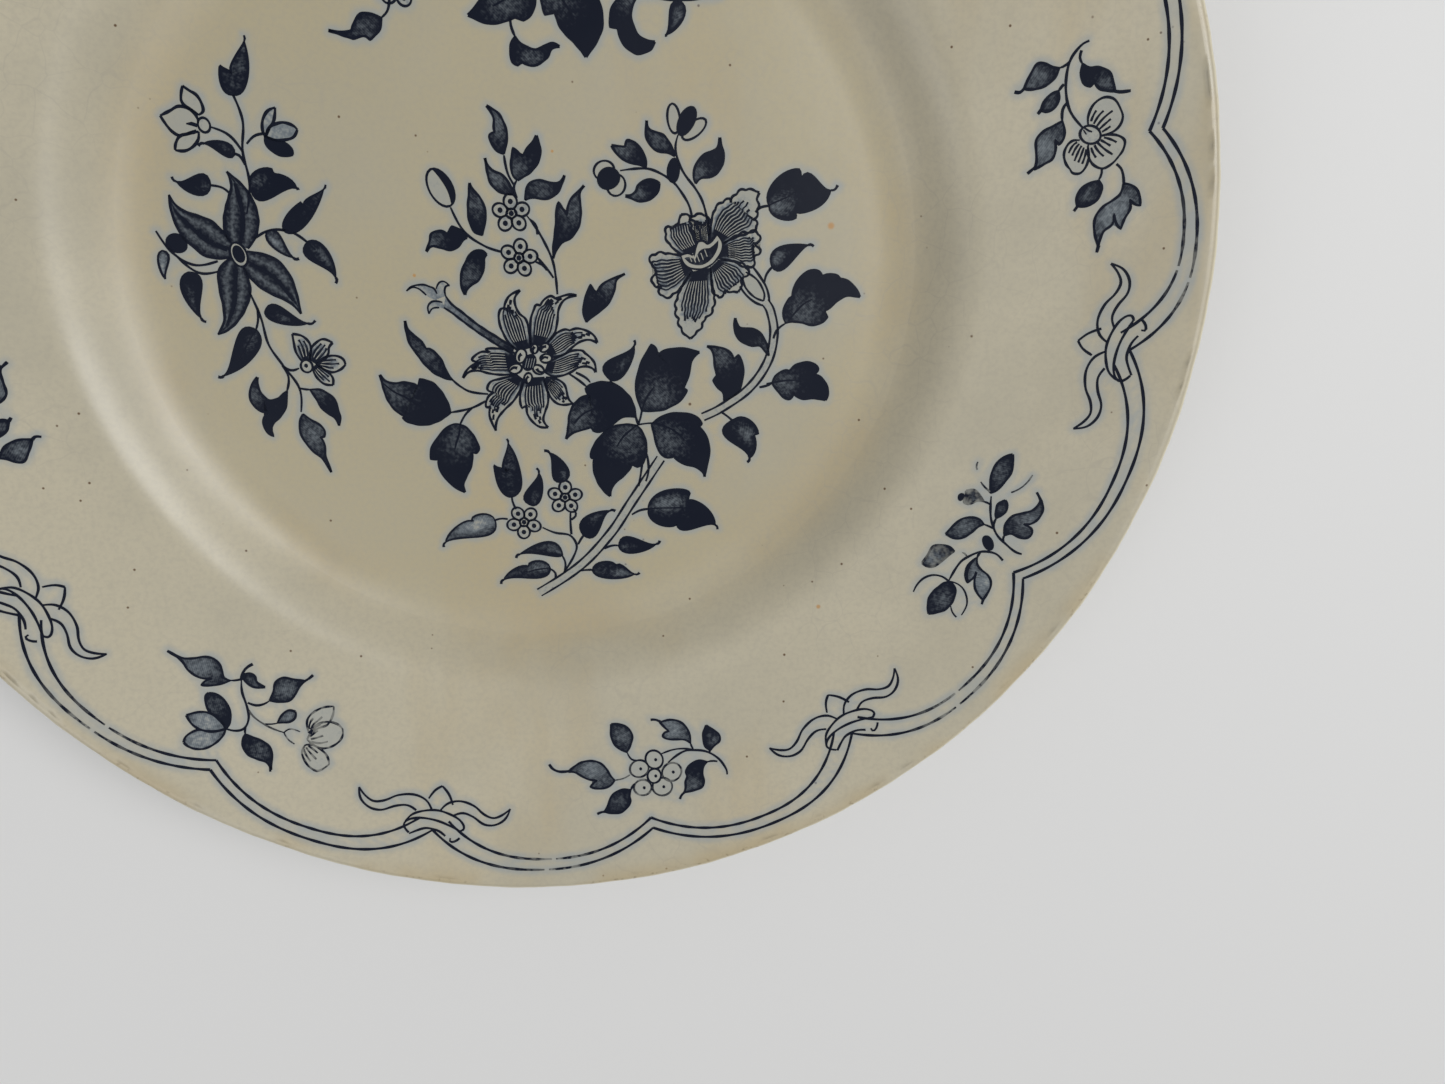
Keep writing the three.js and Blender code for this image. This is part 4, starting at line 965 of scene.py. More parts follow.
def draw_side_spray(paper):
    """A star flower on the left of the well, with stalks above, below and to both sides."""
    paper.stem((-50.9, 30.4), (-49.8, 26.0), (-50.5, 21.0), (-50.0, 15.5), (-51.2, 10.0))
    paper.stem((-49.6, 22.2), (-48.0, 23.6), (-46.0, 24.0))
    paper.stem((-50.4, 20.6), (-52.5, 23.6), (-55.6, 25.0))
    paper.forked((-51.0, 30.4), (-47.8, 39.2), (-52.5, 35.4), 5.0, depth=0.5, shade=0.8)
    for left, right, ink in OPEN_PETALS:
        sides = outline(left), outline(right)
        paper.film(*sides, 3, ink, spacing=0.4)
        paper.stroke(sides[0], LINE * 1.3)
        paper.stroke(sides[1], LINE * 1.3)
    paper.oval((-56.7, 25.3), 2.5, 2.1, 100, ink=0.08)
    paper.stroke([(-59.8, 25.5), (-58.8, 25.5), (-57.9, 25.2)], 0.7, (0.3, 1.0))
    paper.stem((-50.4, 18.6), (-51.2, 20.2), (-52.4, 20.5))
    paper.leaf((-52.0, 20.3), (-57.2, 22.2), 2.4, bend=-0.5, vein=False)
    paper.stem((-53.6, 13.4), (-55.0, 14.6), (-57.2, 15.0))
    paper.leaf((-57.0, 15.0), (-63.0, 15.6), 3.9, bend=0.2)
    paper.leaf((-50.0, 15.0), (-41.6, 14.6), 4.9, (-45.5, 17.9), None, shade=0.96, tail=0.4)
    paper.stem((-50.4, 5.6), (-47.0, 7.2), (-43.0, 6.6), (-39.4, 3.6))
    paper.stem((-45.6, 7.2), (-44.4, 7.1), (-43.6, 7.5))
    paper.forked((-44.6, 6.8), (-36.8, 14.4), (-41.0, 12.2), 4.6, depth=0.7, shade=0.9)
    paper.leaf((-48.0, 6.8), (-43.7, 2.2), 2.7, shade=0.7, vein=False)
    paper.leaf((-40.6, 5.2), (-36.2, -1.4), 4.0, shade=0.9)
    paper.stem((-57.6, 1.5), (-62.0, 0.8), (-65.6, 3.0), (-68.0, 6.9))
    paper.stem((-57.8, -0.4), (-61.4, -0.6), (-65.0, 2.4))
    paper.oval((-64.6, 4.7), 3.6, 3.2, 160)
    paper.leaf((-67.4, 3.4), (-67.6, -1.8), 2.1, shade=0.55, tail=0.0, vein=False)
    paper.leaf((-63.2, -0.5), (-62.1, -9.0), 4.1, bend=-0.3)
    for left, right, rib in STAR_PETALS:
        sides = outline(left), outline(right)
        paper.film(*sides, 8, star_ink, spacing=0.5)
        paper.stroke(sides[0], LINE * 1.2)
        paper.stroke(sides[1], LINE * 1.2)
        paper.stroke(smooth_line(rib), 0.75, (1.2, 0.4))
    paper.layer = 1
    paper.oval((-53.6, 2.7), 4.5, 3.0, 105, ink=0.12)
    paper.oval((-53.6, 2.8), 2.8, 1.8, 105, lift=RAY_LIFT)
    paper.layer = 0
    paper.stem((-52.6, -4.0), (-51.0, -9.0), (-50.2, -14.0), (-48.0, -18.0), (-45.4, -22.5), (-45.6, -27.2))
    paper.stem((-51.4, -7.2), (-51.6, -9.4), (-52.2, -11.2))
    paper.leaf((-52.1, -11.2), (-59.4, -20.0), 4.6, bend=0.3)
    paper.leaf((-50.2, -8.0), (-42.4, -10.0), 3.3, bend=0.3, tail=1.6)
    paper.stem((-48.2, -18.0), (-46.6, -19.0), (-45.0, -18.6))
    for left, right in SMALL_PETALS:
        paper.petal(outline(left), outline(right), 3, reach=0.7, dashes=False)
    paper.layer = 1
    paper.oval((-43.5, -18.2), 2.4, 2.2, ink=0.1)
    paper.oval((-43.6, -18.1), 0.9, 0.8, outline=False, lift=RAY_LIFT)
    paper.layer = 0
    paper.stem((-48.0, -18.2), (-47.2, -20.4), (-47.8, -23.0))
    paper.broad_leaf(
        outline([(-47.8, -23.0), (-48.7, -23.7), (-49.9, -24.6), (-51.5, -24.8), (-52.7, -23.6),
                 (-53.2, -22.1), (-53.1, -20.3)]),
        outline([(-47.8, -23.0), (-48.1, -24.9), (-48.6, -26.6), (-49.8, -28.2), (-51.0, -29.2),
                 (-51.7, -30.6), (-51.5, -32.0)],
                [(-52.6, -31.2), (-53.1, -29.6), (-52.8, -28.2), (-51.9, -27.3)],
                [(-53.2, -27.0), (-54.4, -26.0), (-55.0, -24.6), (-54.6, -22.3), (-53.1, -20.3)]),
        None, (0.8, 0.4), 0.95)
    paper.broad_leaf(
        outline([(-43.4, -22.8), (-41.5, -22.8), (-39.9, -23.7), (-38.8, -24.9), (-38.5, -26.6),
                 (-38.2, -28.2), (-38.6, -30.0)]),
        outline([(-43.4, -22.8), (-42.4, -24.6), (-41.7, -26.2), (-40.4, -27.6), (-39.2, -28.4),
                 (-38.6, -30.0)]),
        None, (0.1, 0.0))
    paper.stem((-45.4, -22.5), (-44.4, -22.7), (-43.4, -22.8))
    paper.broad_leaf(
        outline([(-45.3, -27.6), (-43.7, -28.9), (-42.3, -29.8), (-41.5, -31.0), (-41.7, -32.2)],
                [(-42.4, -32.3)], [(-41.8, -33.8), (-41.9, -35.9), (-41.5, -37.7), (-41.1, -39.5)]),
        outline([(-45.3, -27.6), (-46.1, -29.2), (-46.2, -31.4), (-45.4, -33.4), (-44.1, -35.2),
                 (-42.5, -36.7), (-41.1, -39.5)]),
        None, (0.35, -0.1), 0.9)


def draw_head_spray(paper):
    """A small arching spray at the head of the well."""
    paper.stem((-24.0, 46.6), (-14.0, 50.0), (-4.0, 51.5), (6.0, 51.4), (16.0, 49.0), (23.0, 47.7),
               (30.0, 47.2), (36.7, 48.1))
    paper.berries((-20.4, 48.6), 10)
    paper.stem((-21.9, 46.6), (-22.4, 44.6), (-23.6, 43.4))
    paper.broad_leaf(
        outline([(-23.6, 43.4), (-26.9, 44.1), (-28.5, 42.4), (-29.0, 41.2)],
                [(-30.4, 41.0), (-33.0, 41.2)]),
        outline([(-23.6, 43.4), (-24.0, 41.6), (-25.9, 39.8)], [(-26.8, 40.4), (-28.8, 39.9)],
                [(-30.4, 40.4), (-33.0, 41.2)]),
        None, (0.35, 0.3))
    paper.broad_leaf(
        outline([(3.4, 49.6), (0.0, 50.4), (-4.0, 49.0), (-6.4, 46.2), (-8.4, 44.1)]),
        outline([(3.4, 49.6), (3.6, 46.8), (2.9, 44.6), (1.3, 43.4)], [(-0.2, 43.9)],
                [(-2.4, 43.1), (-4.8, 42.8), (-6.6, 43.3), (-8.4, 44.1)]),
        None, (0.5, 0.2),
        vein=[(2.0, 49.0), (-1.4, 47.0), (-4.0, 45.6)])
    paper.broad_leaf(
        outline([(5.2, 50.4), (9.0, 51.6), (13.2, 49.6), (15.2, 45.8), (15.2, 42.0), (12.3, 37.6)]),
        outline([(5.2, 50.4), (4.6, 47.4), (5.2, 44.4)], [(7.0, 44.8)],
                [(8.0, 42.2), (10.6, 39.6), (12.3, 37.6)]),
        None, (0.2, 0.2),
        vein=[(6.0, 49.6), (8.6, 46.6), (10.4, 43.6)])
    paper.stem((-1.0, 43.9), (-0.9, 42.4), (-0.3, 40.8))
    paper.broad_leaf(
        outline([(-0.3, 40.8), (0.9, 39.5), (3.3, 38.7), (5.2, 39.5), (6.3, 39.8), (7.6, 39.3)]),
        outline([(-0.3, 40.8), (-1.2, 39.2), (-1.0, 36.6), (-0.1, 36.0)], [(0.7, 36.6)],
                [(2.8, 36.0), (5.2, 37.3), (6.1, 38.8), (7.6, 39.3)]),
        None, (0.5, 0.2))
    paper.broad_leaf(
        outline([(21.8, 47.8), (20.6, 45.3), (20.9, 43.0), (22.2, 41.0), (24.8, 40.3)]),
        outline([(21.8, 47.8), (18.4, 47.2), (17.0, 45.3), (16.8, 42.6)], [(18.2, 42.4)],
                [(19.0, 40.0), (21.4, 38.3), (23.8, 38.9), (24.8, 40.3)]),
        None, (0.1, 0.0))
    paper.leaf((29.8, 46.8), (26.9, 41.5), 3.0, shade=0.85, vein=False, tail=0.3)
    paper.leaf((-15.5, 49.4), (-21.0, 55.6), 4.6, light=0.3)
    paper.leaf((-4.0, 51.6), (-3.0, 62.4), 5.2, light=0.25)
    paper.forked((8.0, 51.8), (10.6, 62.4), (4.4, 59.6), 5.8, depth=0.6)
    paper.leaf((20.0, 48.8), (23.4, 58.4), 4.8)
    paper.berries((31.4, 53.2), 30)
    paper.stem((28.6, 47.4), (30.0, 49.4), (31.2, 51.0))


# ---- The four sprigs that take turns round the rim: x runs clockwise, y is the radius ----


def draw_pansy_sprig(paper):
    """A three-petalled flower with leaves on both sides."""
    paper.stem((-14.5, 106.8), (-14.1, 105.4), (-12.2, 103.4), (-9.0, 102.3), (-5.7, 102.1), (-3.4, 102.6),
               (-0.6, 104.2))
    paper.stem((-13.3, 105.4), (-12.2, 105.0), (-11.1, 105.3))
    paper.broad_leaf(
        outline([(-11.1, 105.3), (-10.2, 106.4), (-9.9, 107.8), (-8.8, 109.4), (-7.2, 109.9),
                 (-5.4, 110.0)]),
        outline([(-11.1, 105.3), (-9.6, 104.9), (-8.0, 105.1), (-7.1, 106.2)], [(-7.6, 106.9)],
                [(-6.2, 107.8), (-5.7, 109.0), (-5.4, 110.0)]),
        [(-5.4, 110.0), (-5.0, 111.0), (-4.8, 112.6)],
        (0.72, -0.2))
    paper.stem((-11.9, 103.2), (-11.5, 102.3), (-11.4, 101.5))
    paper.broad_leaf(
        outline([(-11.4, 101.5), (-9.9, 100.4), (-9.1, 98.8), (-9.0, 96.9), (-9.5, 95.2)]),
        outline([(-11.4, 101.5), (-11.8, 100.4), (-12.7, 99.3), (-13.0, 98.0), (-11.8, 96.8),
                 (-9.5, 95.2)]),
        [(-9.5, 95.2), (-9.1, 94.5), (-9.4, 93.6)],
        (0.6, 0.1), 0.88)
    paper.stem((-8.6, 101.9), (-8.2, 101.4), (-7.7, 100.9))
    paper.broad_leaf(
        outline([(-7.7, 100.9), (-6.4, 100.8), (-5.1, 99.9), (-4.8, 98.6), (-5.3, 97.6)]),
        outline([(-7.7, 100.9), (-7.5, 99.6), (-6.7, 98.4), (-5.3, 97.6)]),
        [(-5.3, 97.6), (-4.8, 97.0)])
    paper.stem((-5.4, 102.0), (-4.5, 101.2), (-2.6, 100.9))
    paper.broad_leaf(
        outline([(-2.6, 100.9), (-1.2, 101.1), (0.3, 100.8), (1.2, 99.9)], [(0.2, 99.3)],
                [(1.9, 99.2), (3.3, 98.5), (3.8, 97.2), (4.4, 95.1)]),
        outline([(-2.6, 100.9), (-2.2, 99.4), (-1.7, 97.6), (-0.6, 96.2), (1.4, 95.9), (3.2, 95.7),
                 (4.4, 95.1)]),
        [(4.0, 95.4), (4.8, 93.9)], (0.6, 0.1), 0.78)
    for left, right in PANSY_PETALS:
        paper.open_petal(outline(left), outline(right), 5)
    paper.layer = 1
    paper.oval((0.8, 105.25), 3.7, 2.9, 52, ink=0.12)
    paper.stroke(smooth_line([(-0.6, 104.4), (0.1, 105.1), (0.4, 105.6)]), 0.4)
    paper.stroke(smooth_line([(-0.3, 104.2), (0.6, 104.6)]), 0.3)
    paper.layer = 0
    paper.stem((7.0, 106.5), (8.0, 106.3), (8.9, 105.7))
    paper.broad_leaf(
        outline([(8.9, 105.8), (10.4, 106.1), (12.0, 105.2), (12.8, 103.6), (12.5, 101.6)]),
        outline([(8.9, 105.8), (9.0, 104.2), (9.6, 102.6), (10.9, 101.7), (12.5, 101.6)]),
        [(12.5, 101.6), (13.2, 100.9)])
    paper.stem((6.8, 109.0), (7.8, 109.7), (9.1, 109.9), (10.7, 109.8))
    paper.broad_leaf(
        outline([(10.4, 109.8), (11.2, 111.3), (12.6, 112.1), (14.9, 112.1)],
                [(14.4, 111.2), (13.4, 110.5)], [(15.0, 110.4), (16.6, 109.2), (18.2, 108.4)],
                [(17.2, 107.8), (15.3, 107.6)], [(17.0, 107.1), (18.0, 105.4), (20.4, 104.2)]),
        outline([(10.4, 109.8), (12.1, 109.0), (12.9, 107.6), (13.6, 105.9), (15.1, 104.4), (17.4, 103.9),
                 (20.4, 104.2)]),
        [(20.2, 104.3), (21.4, 103.8)], (0.5, 0.0), 0.72)


# The pansy's petals: two outlines for each, from the middle of the flower to the petal's edge.
PANSY_PETALS = [
    ([(1.4, 106.9), (1.4, 108.1), (1.1, 109.4), (0.3, 110.4), (-0.9, 110.9), (-2.1, 110.7)],
     [(-0.8, 105.1), (-2.4, 105.3), (-4.1, 106.4), (-4.8, 108.2), (-4.1, 109.8), (-2.1, 110.7)]),
    ([(2.2, 104.8), (4.0, 104.5), (5.9, 105.1), (7.0, 106.6), (6.6, 108.2), (5.6, 109.5)],
     [(1.5, 107.2), (1.6, 108.6), (2.2, 110.0), (3.2, 110.8), (4.6, 110.4), (5.6, 109.5)]),
    ([(1.3, 103.4), (1.1, 102.2), (1.7, 101.2), (3.0, 100.5), (4.6, 100.6), (5.8, 101.2)],
     [(2.6, 104.6), (4.4, 104.6), (6.0, 103.9), (6.9, 102.8), (6.6, 101.6), (5.8, 101.2)]),
]


def draw_bud_sprig(paper):
    """Two curling stalks that end in a dark bud on each side."""
    paper.stem((-3.6, 111.0), (-3.3, 109.6), (-3.6, 107.3), (-4.1, 105.1), (-5.1, 103.4), (-6.8, 101.6),
               (-10.1, 99.5))
    paper.stem((-0.5, 108.7), (-0.9, 107.0), (-0.5, 105.5), (0.4, 104.1), (2.1, 102.9), (4.3, 102.0),
               (8.8, 102.2))
    paper.stem((-3.9, 106.6), (-4.3, 106.2), (-5.0, 106.1))
    paper.broad_leaf(
        outline([(-4.9, 106.1), (-6.2, 105.2), (-7.9, 104.9), (-9.4, 105.4), (-10.7, 106.6), (-12.3, 107.8),
                 (-14.6, 107.9)]),
        outline([(-4.9, 106.1), (-5.9, 107.0), (-6.2, 109.0), (-6.9, 110.0), (-8.0, 110.3), (-8.9, 109.6),
                 (-8.8, 107.9)],
                [(-9.8, 109.1), (-11.5, 109.6), (-13.4, 109.2), (-14.6, 107.9)]),
        [(-14.4, 108.1), (-15.0, 107.2), (-15.5, 106.3)],
        (0.6, 0.4), 0.86)
    paper.stem((-5.1, 103.5), (-5.9, 103.0), (-7.0, 102.8))
    paper.broad_leaf(
        outline([(-6.9, 102.8), (-8.0, 102.0), (-9.4, 101.5), (-10.9, 102.2)]),
        outline([(-6.9, 102.8), (-8.0, 103.3), (-9.2, 103.6), (-10.4, 103.0), (-10.9, 102.2)]))
    paper.stem((-8.6, 100.2), (-8.6, 99.6), (-8.4, 98.9))
    paper.broad_leaf(
        outline([(-8.4, 98.9), (-7.8, 97.7), (-6.4, 96.8), (-6.2, 95.8), (-7.4, 95.4), (-8.4, 94.9)]),
        outline([(-8.4, 98.9), (-9.2, 97.2), (-9.3, 96.0), (-8.4, 94.9)]),
        worn=0.5)
    paper.oval((-6.8, 94.7), 1.3, 0.8, 10)
    paper.stem((-4.9, 103.4), (-4.8, 102.4), (-4.6, 101.5))
    paper.broad_leaf(
        outline([(-4.6, 101.5), (-3.4, 100.8), (-1.8, 100.4), (-0.4, 99.8), (0.8, 98.6), (1.1, 96.4)]),
        outline([(-4.6, 101.5), (-5.0, 100.2), (-4.4, 98.6), (-3.1, 97.3), (-1.2, 96.7), (1.1, 96.4)]),
        None, (0.5, 0.0), 0.88)
    paper.stem((2.8, 102.6), (2.4, 101.8), (2.5, 101.2), width=0.28, worn=0.4)
    paper.broad_leaf(
        outline([(3.1, 99.8), (4.6, 99.2), (6.3, 98.8), (7.9, 98.1), (8.7, 97.0), (8.6, 95.8)]),
        outline([(3.1, 99.8), (2.9, 98.6), (3.4, 97.0), (4.6, 95.7), (6.6, 95.8), (8.6, 95.8)]),
        None, (0.7, 0.2), 0.86, worn=0.3)
    paper.oval((-1.9, 104.3), 2.9, 1.7, 58)
    paper.stem((0.4, 104.1), (1.0, 104.1), (1.7, 104.2))
    paper.broad_leaf(
        outline([(1.7, 104.2), (2.9, 105.0), (3.4, 106.3), (3.6, 107.9), (4.3, 109.1), (5.6, 109.8),
                 (8.4, 110.0)]),
        outline([(1.7, 104.2), (3.2, 103.7), (4.8, 103.7), (6.2, 104.4), (7.1, 105.5)],
                [(5.4, 105.9), (4.2, 105.7)], [(5.8, 106.3), (7.2, 107.3), (8.0, 108.6), (8.4, 110.0)]),
        [(8.4, 110.0), (9.3, 110.3)], (0.6, -0.3), 0.66)
    paper.stroke(smooth_line([(2.0, 104.0), (4.2, 103.8), (6.0, 104.4), (7.0, 105.6)]), 0.7, (0.4, 1.0))
    for side in BUDS:
        paper.broad_leaf(outline(side[0]), outline(side[1]), None, (0.5, -0.3), 0.96)
    paper.stem((8.8, 102.5), (8.4, 103.9), (8.6, 105.4), (9.5, 106.8), (11.0, 107.9), (13.4, 108.2),
               width=0.34)
    paper.stem((14.3, 107.6), (13.9, 106.4), (13.0, 105.4), width=0.34)
    paper.stem((8.9, 102.2), (8.8, 100.7), (9.5, 99.0), (11.0, 97.8), (12.9, 97.4), (14.6, 97.6), width=0.42)
    paper.stem((-12.8, 102.3), (-14.3, 103.2), (-16.2, 103.7), (-17.9, 103.7), width=0.3, worn=0.4)
    paper.stem((-10.7, 98.8), (-11.0, 97.2), (-11.4, 96.2), width=0.34, worn=0.3)
    paper.stem((-13.0, 94.3), (-13.6, 93.7), (-14.4, 93.5), width=0.34, worn=0.6)


# The two buds: the upper outline and the lower outline of each.
BUDS = [
    ([(8.8, 102.5), (9.3, 104.0), (10.8, 104.9), (12.7, 105.2), (14.6, 104.7), (16.8, 102.6)],
     [(8.8, 102.5), (9.9, 101.6), (11.4, 101.1), (13.1, 100.8), (14.8, 101.2), (16.8, 102.6)]),
    ([(-10.5, 99.0), (-12.0, 98.0), (-14.0, 97.0), (-16.0, 96.7), (-17.6, 97.0), (-19.2, 98.2)],
     [(-10.5, 99.0), (-11.5, 99.7), (-13.4, 100.0), (-15.7, 100.1), (-17.6, 99.4), (-19.2, 98.2)]),
]


def draw_berry_sprig(paper):
    """A cluster of pale fruit with leaves round it."""
    paper.stem((-17.9, 107.9), (-17.9, 106.7), (-16.8, 104.3), (-14.7, 102.4), (-12.4, 101.6),
               (-9.8, 101.4), (-6.1, 103.1))
    paper.stem((-12.4, 101.7), (-10.4, 100.9), (-7.9, 100.6), (-5.1, 101.0), width=0.36)
    for spot, size, degrees, worn in (
        ((0.2, 107.3), 3.7, 0, 0.5), ((-6.5, 105.2), 4.2, 20, 0.35), ((-3.9, 107.9), 4.2, 0, 0.15),
        ((0.1, 103.2), 4.0, 10, 0.15), ((-3.4, 101.9), 4.0, 105, 0.0), ((-2.7, 105.3), 3.1, 60, 0.0),
    ):
        paper.layer = 1 if size < 3.5 else 0
        paper.oval(spot, size, size * 0.9, degrees, ink=0.04, worn=worn)
        paper.oval(np.add(spot, (-0.3, 0.1)), 0.75, 0.7, outline=False, lift=RAY_LIFT)
    paper.layer = 0
    paper.stem((-16.4, 104.8), (-15.4, 104.5), (-14.3, 104.5))
    paper.broad_leaf(
        outline([(-14.3, 104.5), (-13.2, 105.4), (-12.8, 106.8), (-12.8, 108.3), (-12.1, 109.6),
                 (-10.5, 109.9), (-8.2, 110.0)]),
        outline([(-14.3, 104.5), (-12.3, 103.9), (-10.5, 104.5), (-9.4, 105.8), (-9.5, 106.7),
                 (-8.9, 107.8), (-8.7, 109.0), (-8.2, 110.0)]),
        [(-8.2, 110.0), (-7.5, 110.5), (-7.0, 111.2)],
        (0.75, -0.2), 0.96)
    paper.stem((-15.0, 102.6), (-15.2, 102.4), (-15.4, 102.2))
    paper.broad_leaf(
        outline([(-15.4, 102.2), (-14.6, 101.4), (-14.4, 99.8), (-14.7, 98.3), (-15.6, 96.8)]),
        outline([(-15.4, 102.2), (-16.4, 101.4), (-17.7, 100.6), (-17.9, 99.3), (-17.0, 98.2),
                 (-15.6, 96.8)]),
        None, (0.4, 0.4), 0.97)
    paper.stem((-11.9, 101.4), (-11.7, 100.6), (-11.6, 99.9))
    paper.broad_leaf(
        outline([(-11.6, 99.9), (-10.6, 99.0), (-9.0, 98.6), (-7.2, 98.2), (-6.2, 97.4), (-6.8, 96.6)],
                [(-7.7, 96.6)], [(-6.9, 95.5), (-6.2, 94.3)]),
        outline([(-11.6, 99.9), (-11.8, 98.4), (-11.4, 96.4), (-10.2, 94.9), (-8.4, 94.2), (-6.2, 94.3)]),
        [(-6.3, 94.2), (-5.4, 93.6), (-4.4, 93.4)],
        (0.6, 0.0), 0.74)
    paper.stem((0.2, 101.4), (1.3, 100.9), (1.9, 99.2), width=0.36)
    paper.broad_leaf(
        outline([(1.9, 99.2), (3.2, 98.3), (4.2, 96.8), (4.4, 95.0), (3.9, 92.7)]),
        outline([(1.9, 99.2), (0.8, 97.8), (0.1, 96.2), (0.4, 94.6), (1.8, 93.2), (3.9, 92.7)]),
        None, (0.5, 0.1), 0.9)
    paper.stem((1.6, 106.2), (2.2, 106.6), (2.8, 107.3))
    paper.broad_leaf(
        outline([(2.8, 107.3), (3.3, 108.5), (3.3, 109.6), (4.4, 110.9), (6.0, 111.6), (7.6, 111.4),
                 (9.2, 110.7)]),
        outline([(2.8, 107.3), (4.3, 106.9), (6.1, 107.2), (7.4, 108.2), (8.2, 109.6), (9.2, 110.7)]),
        [(9.0, 110.8), (9.8, 110.7), (10.8, 110.9)],
        (0.5, 0.0))
    paper.stem((2.3, 104.1), (3.8, 104.6), (5.6, 104.6), width=0.32, worn=0.4)
    paper.broad_leaf(
        outline([(5.7, 104.6), (6.7, 105.5), (8.4, 105.8), (10.0, 105.5), (11.0, 104.9)],
                [(10.2, 104.3), (9.3, 103.9)],
                [(11.0, 103.3), (12.4, 102.2), (13.5, 101.2), (14.8, 100.8)]),
        outline([(5.7, 104.6), (6.4, 103.3), (6.9, 101.8), (8.0, 100.3), (9.7, 99.5), (11.6, 99.4),
                 (13.2, 99.9), (14.8, 100.8)]),
        [(14.6, 100.7), (16.6, 100.4), (17.8, 99.6), (18.4, 98.4)],
        (0.5, 0.1), 0.76)


def draw_trefoil_sprig(paper):
    """A three-petalled bud over a bending stalk, with an open flower on the left."""
    paper.stem((1.7, 109.0), (0.2, 108.6), (-1.0, 107.7), (-1.3, 106.5), (-0.7, 104.7), (1.0, 102.8),
               (2.9, 101.1), (4.3, 99.0))
    paper.stem((-1.3, 107.0), (-1.6, 107.6), (-2.0, 108.2))
    paper.broad_leaf(
        outline([(-2.0, 108.2), (-3.4, 108.0), (-5.2, 107.8), (-6.8, 107.9), (-8.3, 108.8), (-9.1, 110.2),
                 (-10.0, 112.0)]),
        outline([(-2.0, 108.2), (-2.1, 109.3), (-3.2, 110.8), (-4.8, 111.5), (-6.5, 111.4), (-8.2, 111.1),
                 (-9.4, 111.4), (-10.0, 112.0)]),
        [(-9.6, 111.5), (-10.1, 112.4)])
    for left, right, light, shade in TREFOIL_PETALS:
        paper.broad_leaf(outline(left), outline(right), None, light, shade)
    paper.stem((0.0, 103.6), (-1.5, 104.3), (-3.4, 104.6), (-5.9, 104.6), (-8.2, 104.2), width=0.34, worn=0.2)
    paper.stem((-8.2, 104.2), (-9.6, 105.0), (-11.2, 105.2), width=0.3, worn=0.5)
    paper.stem((-8.2, 104.2), (-8.8, 103.0), (-10.8, 102.5), width=0.3, worn=0.5)
    paper.stem((-4.2, 104.5), (-5.4, 103.8), (-6.2, 103.1), width=0.34)
    paper.broad_leaf(
        outline([(-6.1, 103.1), (-6.0, 101.4), (-6.5, 99.9), (-7.9, 99.4)]),
        outline([(-6.1, 103.1), (-7.0, 102.5), (-8.0, 101.8), (-8.5, 100.5), (-7.9, 99.4)]),
        None, (0.6, 0.2), 0.82)
    paper.stem((0.9, 102.4), (-0.7, 102.1), (-1.8, 101.2), (-2.4, 100.1))
    paper.broad_leaf(
        outline([(-2.4, 100.0), (-2.2, 98.2), (-1.5, 96.2), (-2.1, 94.7), (-3.8, 94.0), (-6.1, 93.1)]),
        outline([(-2.4, 100.0), (-4.2, 99.2), (-5.7, 98.1), (-6.0, 96.2), (-5.9, 94.4), (-6.1, 93.1)]),
        [(-6.1, 93.2), (-6.6, 92.2), (-6.9, 91.2)],
        (0.5, 0.0), 0.9)
    paper.broad_leaf(
        outline([(4.5, 97.8), (3.9, 98.7), (2.4, 99.1), (1.0, 98.9), (-0.3, 98.0)]),
        outline([(4.5, 97.8), (3.6, 97.0), (2.4, 97.1), (1.6, 97.9), (-0.3, 98.0)]))
    paper.stroke(smooth_line([(4.3, 99.0), (4.8, 97.6), (4.7, 96.3), (4.1, 95.1)]), 0.6, (0.8, 0.9))
    paper.stem((4.3, 98.8), (5.2, 99.6), (6.0, 100.1))
    paper.broad_leaf(
        outline([(6.0, 100.1), (7.4, 101.8), (8.8, 102.9), (10.2, 103.6)], [(10.0, 102.5), (9.1, 101.4)],
                [(10.8, 102.3), (12.4, 102.4), (14.1, 102.0), (15.4, 101.2), (17.2, 100.7)]),
        outline([(6.0, 100.1), (7.4, 100.2), (8.3, 99.2), (9.5, 98.2), (11.0, 97.8), (12.6, 98.3),
                 (14.2, 99.6), (15.6, 100.4), (17.2, 100.7)]),
        [(17.0, 100.7), (19.0, 100.6)], (0.62, 0.0), 0.82)
    for left, right in WORN_PETALS:
        paper.open_petal(outline(left), outline(right), 3, 0.5)
    paper.stroke([(-12.6, 101.9), (-12.6, 100.9)], 1.0, (0.9, 0.4))


# The trefoil bud's petals, upper, lower and middle: two outlines, where each is pale, and how dark it is.
TREFOIL_PETALS = [
    ([(1.8, 108.9), (1.5, 110.7), (2.1, 112.9), (3.2, 114.5), (4.6, 115.3), (6.0, 115.5), (7.1, 115.2)],
     [(1.8, 108.9), (3.2, 110.4), (4.8, 111.2), (6.1, 111.7), (7.0, 112.9), (7.4, 114.1), (7.1, 115.2)],
     (0.6, 0.0), 0.6),
    ([(1.7, 109.0), (1.7, 107.7), (2.4, 106.2), (3.8, 104.8), (5.4, 104.0), (7.1, 103.9), (8.2, 104.3)],
     [(1.7, 109.0), (3.0, 108.3), (4.9, 107.8), (6.2, 107.5), (7.6, 106.4), (8.4, 105.1), (8.2, 104.3)],
     (0.65, 0.2), 1.0),
    ([(1.8, 109.2), (3.2, 110.5), (4.6, 111.2), (6.3, 111.5), (7.9, 111.2), (9.5, 110.2)],
     [(1.8, 109.2), (3.2, 108.0), (5.2, 107.7), (6.9, 108.0), (8.4, 109.0), (9.5, 110.2)], (0.5, 0.0),
     0.62),
]
